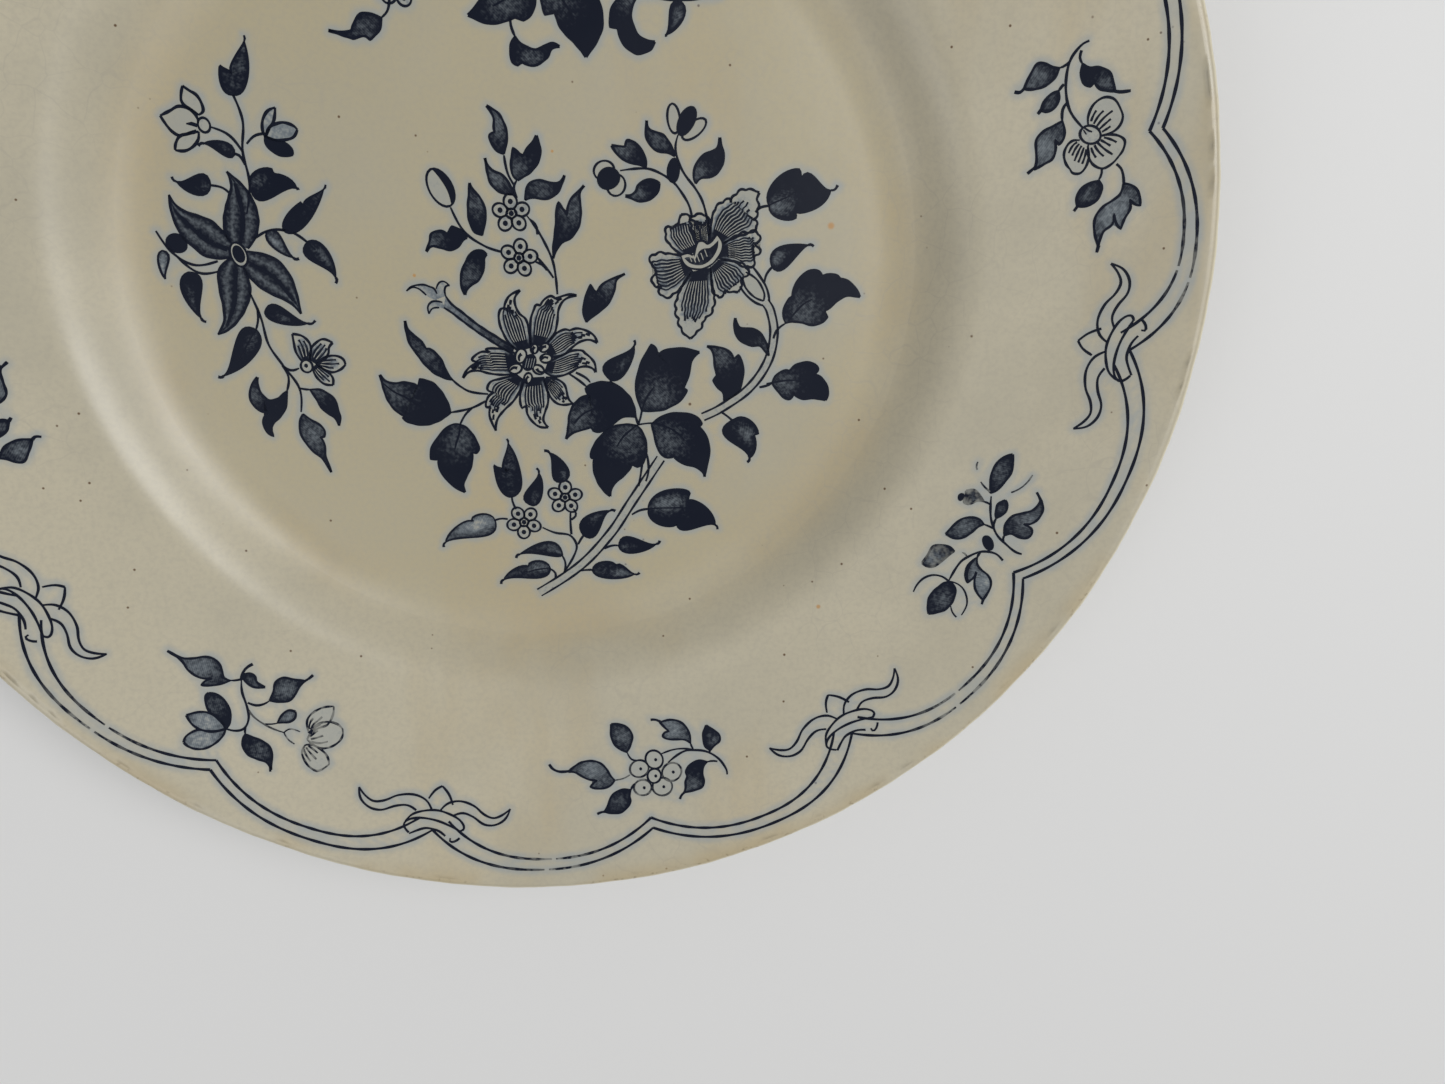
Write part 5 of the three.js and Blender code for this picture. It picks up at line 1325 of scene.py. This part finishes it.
# The three pale petals of the worn flower.
WORN_PETALS = [
    ([(-13.1, 104.3), (-14.4, 103.6), (-16.2, 103.6), (-18.0, 104.2), (-19.2, 105.4)],
     [(-13.1, 104.3), (-13.3, 105.9), (-14.6, 107.1), (-16.2, 107.8), (-18.0, 107.7), (-19.2, 105.4)]),
    ([(-12.8, 103.2), (-15.7, 103.5), (-17.3, 102.5), (-18.3, 100.8), (-18.4, 99.2), (-17.6, 97.8)],
     [(-12.8, 103.2), (-12.7, 100.2), (-13.3, 98.9), (-14.6, 97.9), (-16.2, 97.5), (-17.6, 97.8)]),
    ([(-12.6, 101.9), (-13.4, 100.2), (-14.6, 98.6), (-14.5, 96.4), (-13.7, 94.7)],
     [(-12.6, 101.9), (-11.5, 101.0), (-10.7, 99.5), (-10.9, 97.9), (-12.0, 96.0), (-13.7, 94.7)]),
]


SPRIGS = [draw_pansy_sprig, draw_bud_sprig, draw_berry_sprig, draw_trefoil_sprig]

# ---- The border: a ribbon that arches from bow to bow, with a cusp between ----

REPEATS = 8
REPEAT_DEGREES = 360 / REPEATS
FIRST_CUSP_DEGREES = 12.5
SECTION_START_DEGREES = 12.6
RIBBON_WIDTH = 2.2
ARCH_RADIUS = 122.8
ARCH_SHARE_OF_SLIP = 0.35
CUSP_RADIUS = 117.2
BOW_RADIUS = 114.4
BOW_GAP_DEGREES = 1.5

# How far each hand-laid piece of border lies from its place: degrees round, and millimetres out.
CUSP_SLIPS = [
    (0.2, 0.0), (0.6, 0.2), (-0.4, 0.3), (0.3, -0.6), (-1.0, 0.2), (-2.0, 0.4), (-1.4, -1.1), (1.3, -3.2),
]
BOW_SLIPS = [
    (1.0, 0.2), (0.4, -0.3), (-0.5, 0.0), (0.8, 0.4), (-2.1, 1.4), (-1.9, 1.0), (-0.4, -1.2), (3.3, 0.0),
]
# Which sprig lies under each cusp, and its angle.
SPRIG_TURNS = [(0, 14.0), (3, 56.0), (2, 101.5), (1, 147.5), (0, 192.5), (3, 235.5), (2, 281.0), (1, 329.0)]


def on_rim(degrees):
    """Lays a drawing on the rim: its x runs clockwise from an angle, and its y is the radius."""
    a = math.radians(degrees)
    clockwise = np.array([math.sin(a), -math.cos(a)])
    outwards = np.array([math.cos(a), math.sin(a)])
    return lambda points: points[:, :1] * clockwise + points[:, 1:] * outwards


def cusp_place(section):
    """The angle and radius of a section's cusp."""
    turn, out = CUSP_SLIPS[section % REPEATS]
    return FIRST_CUSP_DEGREES + section * REPEAT_DEGREES + turn, CUSP_RADIUS + out


def bow_place(section):
    """The angle and radius of a section's bow, half a repeat after its cusp."""
    turn, out = BOW_SLIPS[section % REPEATS]
    return FIRST_CUSP_DEGREES + (section + 0.5) * REPEAT_DEGREES + turn, BOW_RADIUS + out


def ribbon_line(cusp, bow, inwards, gap, start=0.0, end=1.0):
    """A line of the ribbon from a cusp to a bow, as angle and radius. It rises sharply from the
    cusp, is nearly level halfway, and drops into the bow."""
    share = np.linspace(start, end, round(90 * (end - start)) + 2)
    angle = cusp[0] + share * (bow[0] - cusp[0] - gap)
    from_cusp = np.clip(1 - share / 0.5, 0, 1) ** 2.2
    to_bow = np.clip((share - 0.5) / 0.5, 0, 1) ** 2.6
    arch = ARCH_RADIUS + ARCH_SHARE_OF_SLIP * (cusp[1] - CUSP_RADIUS)
    radius = arch - (arch - cusp[1]) * from_cusp - (arch - bow[1]) * to_bow - inwards
    a = np.radians(angle)
    return np.stack([radius * np.cos(a), radius * np.sin(a)], 1)


def fading(most, slope, start):
    """Wear that changes evenly along a line, up to a most."""
    return lambda u, v, at: most * np.clip(slope * u + start, 0, 1)


def draw_border_section(paper, section):
    """From the joint before a cusp, through the cusp, to the joint after the next bow."""
    cusp, bow, bow_before = cusp_place(section), bow_place(section), bow_place(section - 1)
    if section == 0:
        bow_before = (bow_before[0] - 360 * (bow_before[0] > 180), bow_before[1])
    next_cusp = cusp_place(section + 1)
    if section == REPEATS - 1:
        next_cusp = (next_cusp[0] + 360 * (next_cusp[0] < bow[0] - 180), next_cusp[1])
    joint = FIRST_CUSP_DEGREES + section * REPEAT_DEGREES - SECTION_START_DEGREES
    joint_share = (cusp[0] - joint) / (cusp[0] - bow_before[0])
    next_share = (next_cusp[0] - joint - REPEAT_DEGREES) / (next_cusp[0] - bow[0])
    for inwards, gap in ((0.0, 0.0), (RIBBON_WIDTH, BOW_GAP_DEGREES)):
        before = ribbon_line(cusp, bow_before, inwards, -gap, 0.0, joint_share - 0.008)
        after = ribbon_line(cusp, bow, inwards, gap)
        beyond = ribbon_line(next_cusp, bow, inwards, -gap, next_share + 0.012, 1.0)
        fade = rng.uniform(0.15, 0.75)
        paper.stroke(before, LINE * 1.25, (1, 0.6), worn=fading(fade, 2, -0.9))
        paper.stroke(after, LINE * 1.25, (1, 0.9))
        paper.stroke(beyond, LINE * 1.25, (0.6, 0.9), worn=fading(fade, -2, 1))


# The bow is tied in two bands, with one pointed end of ribbon below and a tail on each side.
BOW_LINES = [
    [(-2.8, 0.9), (-1.4, 0.1), (0.0, -0.2), (1.5, -0.2), (2.9, 0.4), (4.6, 1.4)],
    [(4.7, 1.2), (5.7, 0.3), (6.0, -0.6), (5.2, -1.5), (3.4, -2.1), (0.9, -2.2), (-1.8, -1.8),
     (-5.4, -0.6)],
    [(-5.4, -0.5), (-6.3, -1.0), (-6.2, -1.8), (-4.9, -3.0), (-2.4, -3.9), (0.0, -4.2), (2.5, -3.7),
     (4.6, -2.7), (5.8, -1.1)],
    [(-5.8, 0.9), (-5.0, 1.7), (-4.0, 2.0), (-3.9, 1.2)],
    [(-3.2, -5.8), (-2.0, -7.9), (-0.4, -9.4)],
    [(-0.4, -9.4), (0.9, -8.3), (1.9, -6.4)],
]
BOW_TAIL = [
    [(4.0, -3.6), (6.0, -4.4), (8.4, -3.9), (11.0, -2.7), (13.4, -2.9), (15.4, -4.4), (16.2, -6.8)],
    [(0.9, -4.2), (2.4, -6.0), (5.0, -6.8), (8.2, -6.2), (10.6, -4.8), (12.8, -4.3), (14.6, -5.2),
     (16.2, -6.8)],
]


def draw_bow(paper, radius):
    """The bow's lines, placed by its middle."""
    lines = BOW_LINES + BOW_TAIL + [[(-x * 0.93, y) for x, y in line] for line in BOW_TAIL]
    for line in lines:
        paper.stroke(smooth_line([(x, radius + y) for x, y in line]), LINE * 1.1, (0.9, 0.8))


# ---- Materials ----

INK_DARK = (0.004, 0.007, 0.018, 1)
INK_TINT = (0.25, 0.285, 0.31, 1)
# The well's glaze is browner than the rim's, as the glaze is, and darker as painted shade of the deep well.
GLAZE_WELL_WARM_AND_SHADED = (0.475, 0.42, 0.28, 1)
GLAZE_RIM = (0.56, 0.51, 0.38, 1)
GLAZE_GREY = (0.44, 0.41, 0.315, 1)
GLAZE_YELLOW = (0.49, 0.39, 0.22, 1)
FLOW_BLUE = (0.31, 0.36, 0.39, 1)
IRON_BROWN = (0.13, 0.075, 0.035, 1)
STAIN_ORANGE = (0.50, 0.24, 0.055, 1)
# The cream of the very edge is a painted highlight on the rounded rim edge.
EDGE_HIGHLIGHT_CREAM = (0.74, 0.68, 0.50, 1)
CLAY_BUFF = (0.66, 0.60, 0.47, 1)
CLAY_GREY = (0.40, 0.37, 0.30, 1)

# Iron stains on the front: place in the well or on the rim, and size, in millimetres.
STAINS = [
    ((58.3, 8.5), 0.6), ((-21.5, -1.0), 0.3), ((5.5, 21.5), 0.25), ((57.0, -66.5), 0.4),
    ((-1.5, -51.0), 0.35),
]


class Nodes:
    """A short way to add and link shader nodes."""

    def __init__(self, name):
        self.material = bpy.data.materials.new(name)
        self.material.use_nodes = True
        self.tree = self.material.node_tree
        self.shader = self.tree.nodes["Principled BSDF"]
        self.place = self.add("ShaderNodeTexCoord").outputs["Object"]

    def add(self, kind, inputs=None, **settings):
        """A node with its settings. An input is a number, a colour or another node's output."""
        node = self.tree.nodes.new(kind)
        for key, value in settings.items():
            setattr(node, key, value)
        for key, value in (inputs or {}).items():
            if isinstance(value, bpy.types.NodeSocket):
                self.tree.links.new(value, node.inputs[key])
            else:
                node.inputs[key].default_value = value
        return node

    def math(self, operation, a, b=0.0, clamp=False):
        """A sum, product or other operation on numbers."""
        return self.add("ShaderNodeMath", {0: a, 1: b}, operation=operation, use_clamp=clamp).outputs[0]

    def vector(self, operation, *values):
        """The node of an operation on places or directions."""
        return self.add("ShaderNodeVectorMath", dict(enumerate(values)), operation=operation)

    def flat_place(self):
        """The place on the table under a point."""
        return self.vector("MULTIPLY", self.place, (1, 1, 0)).outputs[0]

    def noise(self, scale, detail=3.0, vector=None):
        """Cloudy noise, with so many clouds to the metre."""
        inputs = {"Vector": vector or self.place, "Scale": scale, "Detail": detail, "Roughness": 0.55}
        return self.add("ShaderNodeTexNoise", inputs).outputs["Fac"]

    def stretched(self, x, y, z, turn=0.0):
        """The place, scaled along each axis and turned about z."""
        inputs = {"Vector": self.place, "Scale": (x, y, z), "Rotation": (0, 0, turn)}
        return self.add("ShaderNodeMapping", inputs).outputs["Vector"]

    def ramp(self, value, low, high, to_low=0.0, to_high=1.0):
        """A value between low and high, taken to between to_low and to_high with soft ends."""
        inputs = {"Value": value, "From Min": low, "From Max": high, "To Min": to_low, "To Max": to_high}
        node = self.add("ShaderNodeMapRange", inputs, interpolation_type="SMOOTHSTEP")
        return node.outputs["Result"]

    def mix(self, share, a, b):
        """A colour between a and b. The mix node keeps its colour sockets at 6 and 7, and gives it at 2."""
        return self.add("ShaderNodeMix", {0: share, 6: a, 7: b}, data_type="RGBA").outputs[2]

    def attribute(self, name):
        """A number that the mesh holds at each vertex."""
        return self.add("ShaderNodeAttribute", attribute_name=name).outputs["Fac"]

    def finish(self, colour, roughness, height, strength, distance, specular=0.5):
        """The finished material, with height as its fine relief."""
        self.shader.inputs["Specular IOR Level"].default_value = specular
        self.tree.links.new(colour, self.shader.inputs["Base Color"])
        self.tree.links.new(roughness, self.shader.inputs["Roughness"])
        bump = self.add("ShaderNodeBump", {"Height": height, "Strength": strength, "Distance": distance})
        self.tree.links.new(bump.outputs["Normal"], self.shader.inputs["Normal"])
        return self.material


def glaze_colour(nodes):
    """Ivory glaze, browner in the well and darker there as painted shade of the deep well, with cloudy
    patches, yellow streaks, specks and fine cracks.
    """
    away = nodes.vector("LENGTH", nodes.flat_place()).outputs["Value"]
    # The well's colour, with its painted shade, turns to the rim's colour up the cavetto.
    rim = nodes.ramp(away, (WELL_RADIUS - 4) * MM, (VERGE_RADIUS - 6) * MM)
    colour = nodes.mix(rim, GLAZE_WELL_WARM_AND_SHADED, GLAZE_RIM)
    colour = nodes.mix(nodes.ramp(nodes.noise(28, 6), 0.4, 0.7, 0, 0.5), colour, GLAZE_GREY)
    streak = nodes.ramp(nodes.noise(34, 4, nodes.stretched(1.0, 0.3, 1.0, 0.9)), 0.5, 0.75, 0, 0.45)
    colour = nodes.mix(streak, colour, GLAZE_YELLOW)
    rising, falling = nodes.ramp(away, 60 * MM, 73 * MM), nodes.ramp(away, 73 * MM, 79 * MM, 1, 0)
    ring = nodes.math("MULTIPLY", rising, falling)
    pooled = nodes.math("MULTIPLY", ring, nodes.ramp(nodes.noise(26, 4), 0.35, 0.65, 0.05, 0.5))
    colour = nodes.mix(pooled, colour, GLAZE_YELLOW)
    grain = nodes.ramp(nodes.noise(1100, 3), 0.35, 0.75, 0, 0.3)
    colour = nodes.mix(grain, colour, CLAY_GREY)
    wander = nodes.add("ShaderNodeTexNoise", {"Vector": nodes.place, "Scale": 90.0}).outputs["Color"]
    warped = nodes.vector("MULTIPLY_ADD", wander, (0.006, 0.006, 0.006), nodes.place).outputs[0]
    cracks = nodes.add(
        "ShaderNodeTexVoronoi",
        {"Vector": warped, "Scale": 150.0, "Randomness": 0.9},
        feature="DISTANCE_TO_EDGE",
    ).outputs["Distance"]
    patchy = nodes.ramp(nodes.noise(22, 2), 0.45, 0.7, 0.0, 0.3)
    fine = nodes.math("MULTIPLY", nodes.ramp(cracks, 0.006, 0.02, 1, 0), patchy)
    colour = nodes.mix(fine, colour, CLAY_GREY)
    return specks(nodes, colour)


def specks(nodes, colour):
    """Tiny dark iron specks, a few to each square centimetre."""
    for scale, size, share in ((520.0, 0.17, 0.03), (300.0, 0.11, 0.04), (130.0, 0.055, 0.03)):
        cells = nodes.add("ShaderNodeTexVoronoi", {"Vector": nodes.place, "Scale": scale})
        near = nodes.ramp(cells.outputs["Distance"], size * 0.4, size, 1, 0)
        red = nodes.add("ShaderNodeSeparateColor", {"Color": cells.outputs["Color"]}).outputs[0]
        chosen = nodes.math("LESS_THAN", red, share)
        colour = nodes.mix(nodes.math("MULTIPLY", near, chosen), colour, IRON_BROWN)
    return colour


def glaze_material(name, front_marks):
    """The clear glaze over the cream clay. front_marks adds stains, flow blue, wear at the edge, and a
    painted highlight along the rounded edge.
    """
    nodes = Nodes(name)
    colour = glaze_colour(nodes)
    if front_marks:
        flow = nodes.attribute("flow")
        softened = nodes.math("MULTIPLY", flow, nodes.ramp(nodes.noise(240, 2), 0.2, 0.8, 0.65, 1.0))
        colour = nodes.mix(nodes.ramp(softened, 0.2, 1.0, 0, 0.75), colour, FLOW_BLUE)
        for (x, y), size in STAINS:
            away = nodes.vector("DISTANCE", nodes.flat_place(), (x * MM, y * MM, 0.0)).outputs["Value"]
            near = nodes.ramp(away, size * 0.5 * MM, size * 1.5 * MM, 0.75, 0)
            colour = nodes.mix(near, colour, STAIN_ORANGE)
        edge_wear_and_highlight = nodes.attribute("edge")
        pits = nodes.ramp(nodes.noise(900, 3), 0.56, 0.66)
        patches = nodes.ramp(nodes.noise(45, 2), 0.42, 0.62)
        pitted = nodes.math("MULTIPLY", pits, patches)
        pitted = nodes.math("MULTIPLY", pitted, nodes.ramp(edge_wear_and_highlight, 0.72, 0.92))
        yellowed = nodes.math("MULTIPLY", nodes.ramp(edge_wear_and_highlight, 0.3, 0.95, 0, 0.6), patches)
        colour = nodes.mix(yellowed, colour, GLAZE_YELLOW)
        # A bright cream band right on the rounded edge: a painted highlight.
        colour = nodes.mix(nodes.ramp(edge_wear_and_highlight, 0.9, 0.99, 0, 0.9), colour, EDGE_HIGHLIGHT_CREAM)
        colour = nodes.mix(nodes.math("MULTIPLY", pitted, 0.45), colour, IRON_BROWN)
    roughness = nodes.ramp(nodes.noise(35, 4), 0.3, 0.7, 0.3, 0.42)
    height = nodes.math("ADD", nodes.noise(170, 2), nodes.math("MULTIPLY", nodes.noise(45, 2), 2.0))
    return nodes.finish(colour, roughness, height, 0.25, 0.0002, 0.65)


def print_material():
    """Blue-black colour under the glaze: solid lines, and fills shaded with fine engraved lines."""
    nodes = Nodes("blue_black_print")
    ink = nodes.attribute("ink")
    wave = nodes.math("SINE", nodes.math("MULTIPLY", nodes.attribute("hatch"), 2 * math.pi / HATCH_SPACING))
    middle = nodes.math("MULTIPLY", ink, nodes.math("SUBTRACT", 1.0, ink))
    engraved = nodes.math("MULTIPLY", nodes.math("MULTIPLY", wave, middle), 0.16)
    blotch = nodes.ramp(nodes.noise(900, 3), 0.25, 0.75, -0.045, 0.045)
    grain = nodes.ramp(nodes.noise(1500, 2), 0.3, 0.7, -0.09, 0.09)
    level = nodes.math("ADD", nodes.math("ADD", ink, engraved), nodes.math("ADD", blotch, grain), clamp=True)
    shade = nodes.ramp(level, 0.08, 0.87)
    # The bare glaze colour, with the well's painted shade in it.
    bare = glaze_colour(nodes)
    tinted = nodes.mix(0.5, bare, FLOW_BLUE)
    light = nodes.mix(nodes.ramp(level, 0.05, 0.4), tinted, INK_TINT)
    colour = nodes.mix(shade, light, INK_DARK)
    gaps = nodes.math("MULTIPLY", nodes.attribute("worn"), nodes.ramp(nodes.noise(520, 2), 0.4, 0.6))
    colour = nodes.mix(gaps, colour, tinted)
    roughness = nodes.ramp(nodes.noise(60, 3), 0.3, 0.7, 0.3, 0.4)
    return nodes.finish(colour, roughness, nodes.noise(170, 2), 0.2, 0.0002, 0.2)


def clay_material():
    """Bare fired clay on the foot: dry, buff, and greyed where it has stood."""
    nodes = Nodes("cream_earthenware")
    grey = nodes.ramp(nodes.noise(90, 5), 0.4, 0.7, 0, 0.75)
    colour = nodes.mix(grey, CLAY_BUFF, CLAY_GREY)
    colour = nodes.mix(nodes.ramp(nodes.noise(1200, 3), 0.55, 0.7, 0, 0.5), colour, IRON_BROWN)
    roughness = nodes.ramp(nodes.noise(300, 3), 0.3, 0.7, 0.7, 0.92)
    return nodes.finish(specks(nodes, colour), roughness, nodes.noise(1100, 4), 0.6, 0.0002)


# ---- The plate ----

# How far the blue flows from the print, and the radius from which the rim is worn; the outermost part of that
# band also carries a painted highlight.
FLOW_REACH = 2.2
WEAR_RADIUS = 119.5


def make_prints(material):
    """Every printed film, one piece for each paper that was laid on."""
    transfers = []
    for section in range(REPEATS):
        border = Transfer()
        draw_border_section(border, section)
        angle, radius = bow_place(section)
        border.place = on_rim(angle)
        draw_bow(border, radius)
        transfers.append((f"print_border_{section + 1}", f"border_print_{section + 1}", border))
        kind, turn = SPRIG_TURNS[section]
        sprig = Transfer(on_rim(turn))
        SPRIGS[kind](sprig)
        transfers.append((f"print_rim_sprig_{section + 1}", f"rim_sprig_print_{section + 1}", sprig))
    sprays = {"bouquet": draw_bouquet, "side_spray": draw_side_spray, "head_spray": draw_head_spray}
    for name, draw in sprays.items():
        spray = Transfer()
        draw(spray)
        transfers.append((f"print_{name}", f"{name}_print", spray))
    inked = []
    for name, node, transfer in transfers:
        verts, attributes = transfer.arrays()
        mesh_piece(name, verts, transfer.faces, node, material, attributes, smooth=False)
        inked.append(verts[attributes["ink"] > 0.4])
    return np.vstack(inked)


def flow_near(inked, verts):
    """How strongly the blue has flowed into the glaze at each vertex, from 1 at the print to 0."""
    tree = kdtree.KDTree(len(inked))
    for i, point in enumerate(inked):
        tree.insert(point, i)
    tree.balance()
    distance = np.array([tree.find(v)[2] for v in verts])
    return np.clip(1 - distance / FLOW_REACH, 0, 1)


def make_front_glaze(inked):
    """The glaze from the middle of the well to the foot, with its slow waves and uneven edge."""
    inner = sunk(outside, GLAZE)
    coarse = inner[np.r_[0 : len(front_line) : 6, len(front_line) : len(inner) : 2, len(inner) - 1]]
    verts, faces = turned(joined(outside, coarse[::-1]))
    radius = np.hypot(verts[:, 0], verts[:, 1])
    on_front = verts[:, 2] > np.interp(radius, front_line[:, 0], front_line[:, 1]) - 0.3
    verts[:, 2] += np.where(radius < front_line[-1][0], clay_wave(verts[:, 0], verts[:, 1]), 0)
    turn = np.arctan2(verts[:, 1], verts[:, 0])
    uneven = 0.07 * np.sin(23 * turn + 1) + 0.05 * np.sin(57 * turn) + 0.04 * np.sin(131 * turn + 2)
    share = np.clip((radius - edge_centre[0]) / EDGE_RADIUS, 0, 1)
    verts[:, :2] *= (1 + (uneven * share / PLATE_RADIUS))[:, None]
    # The rim's worn band; its outermost part also takes the painted highlight.
    edge_wear_and_highlight = np.clip((radius - WEAR_RADIUS) / (PLATE_RADIUS - 0.4 - WEAR_RADIUS), 0, 1)
    flow = np.zeros(len(verts))
    flow[on_front] = flow_near(inked, verts[on_front])
    material = glaze_material("clear_glaze_front", True)
    attributes = {"flow": flow, "edge": edge_wear_and_highlight}
    mesh_piece("plate_front_glaze", verts, faces, "front_glaze", material, attributes)


def make_recess_glaze():
    """The glaze inside the foot ring, with three small marks where the stilt stood in the kiln."""
    inner = sunk(recess, -GLAZE)[:-1]
    verts, faces = turned(joined(inner, recess[::-1]))
    for k in range(3):
        spot = turned_by((STILT_RADIUS, 0), 25 + 120 * k)
        away = np.hypot(verts[:, 0] - spot[0], verts[:, 1] - spot[1])
        verts[:, 2] -= STILT_MARK_DEPTH * np.exp(-((away / STILT_MARK_RADIUS) ** 2))
    material = glaze_material("clear_glaze_recess", False)
    mesh_piece("plate_recess_glaze", verts, faces, "recess_glaze", material)


def make_clay_body():
    """The clay under the glaze. Only the foot ring is bare."""
    depth = GLAZE + 0.1
    foot = joined(
        arc((FOOT_OUTER_RADIUS - FOOT_ROUND, FOOT_ROUND), FOOT_ROUND, 0.0, -math.pi / 2, 6),
        arc((FOOT_INNER_RADIUS + FOOT_ROUND, FOOT_ROUND), FOOT_ROUND, -math.pi / 2, -math.pi, 6),
    )
    upper = sunk(outside, depth)[::3]
    under = sunk(recess, -depth)[::-3]
    section = joined(upper, [(FOOT_OUTER_RADIUS, FOOT_BARE_HEIGHT)], foot, under, [(0, under[-1][1])])
    verts, faces = turned(section)
    mesh_piece("plate_clay_body", verts, faces, "earthenware_body", clay_material())


make_front_glaze(make_prints(print_material()))
make_recess_glaze()
make_clay_body()

# ---- Floor, lights and camera ----


def make_floor():
    """A plain pale table top."""
    reach = 1.6
    corners = [(x * reach, y * reach, 0) for x, y in ((-1, -1), (1, -1), (1, 1), (-1, 1))]
    mesh = bpy.data.meshes.new("floor")
    mesh.from_pydata(corners, [], [(0, 1, 2, 3)])
    nodes = Nodes("pale_floor")
    nodes.shader.inputs["Base Color"].default_value = (0.82, 0.82, 0.815, 1)
    nodes.shader.inputs["Roughness"].default_value = 0.6
    mesh.materials.append(nodes.material)
    floor = bpy.data.objects.new("floor", mesh)
    bpy.context.scene.collection.objects.link(floor)


def add_area_light(name, place, size, power):
    """A soft square light that faces the middle of the plate."""
    light = bpy.data.lights.new(name, "AREA")
    light.energy = power
    light.size = size
    holder = bpy.data.objects.new(name, light)
    holder.location = place
    holder.rotation_mode = "QUATERNION"
    holder.rotation_quaternion = (-Vector(place)).to_track_quat("-Z", "Y")
    bpy.context.scene.collection.objects.link(holder)


def make_camera():
    """The viewpoint: just over the plate, a little right of its middle, and tilted."""
    camera = bpy.data.objects.new("camera", bpy.data.cameras.new("camera"))
    camera.data.sensor_width = 36
    camera.data.lens = 26.16
    camera.data.clip_start = 0.01
    turn = Euler([math.radians(angle) for angle in (-18.1, -3.89, 0.41)]).to_matrix().to_4x4()
    camera.matrix_world = Matrix.Translation(Vector((23.03, 13.21, 215.15)) * MM) @ turn
    bpy.context.scene.collection.objects.link(camera)
    bpy.context.scene.camera = camera


make_floor()
add_area_light("key_light", (0.80, 0.28, 1.20), 0.85, 12.0)
add_area_light("fill_light", (-0.46, -0.36, 0.56), 0.5, 0.9)
make_camera()
world = bpy.data.worlds.new("studio")
world.use_nodes = True
world.node_tree.nodes["Background"].inputs["Color"].default_value = (1, 1, 1, 1)
world.node_tree.nodes["Background"].inputs["Strength"].default_value = 0.30
bpy.context.scene.world = world
bpy.context.scene.view_settings.view_transform = "Standard"
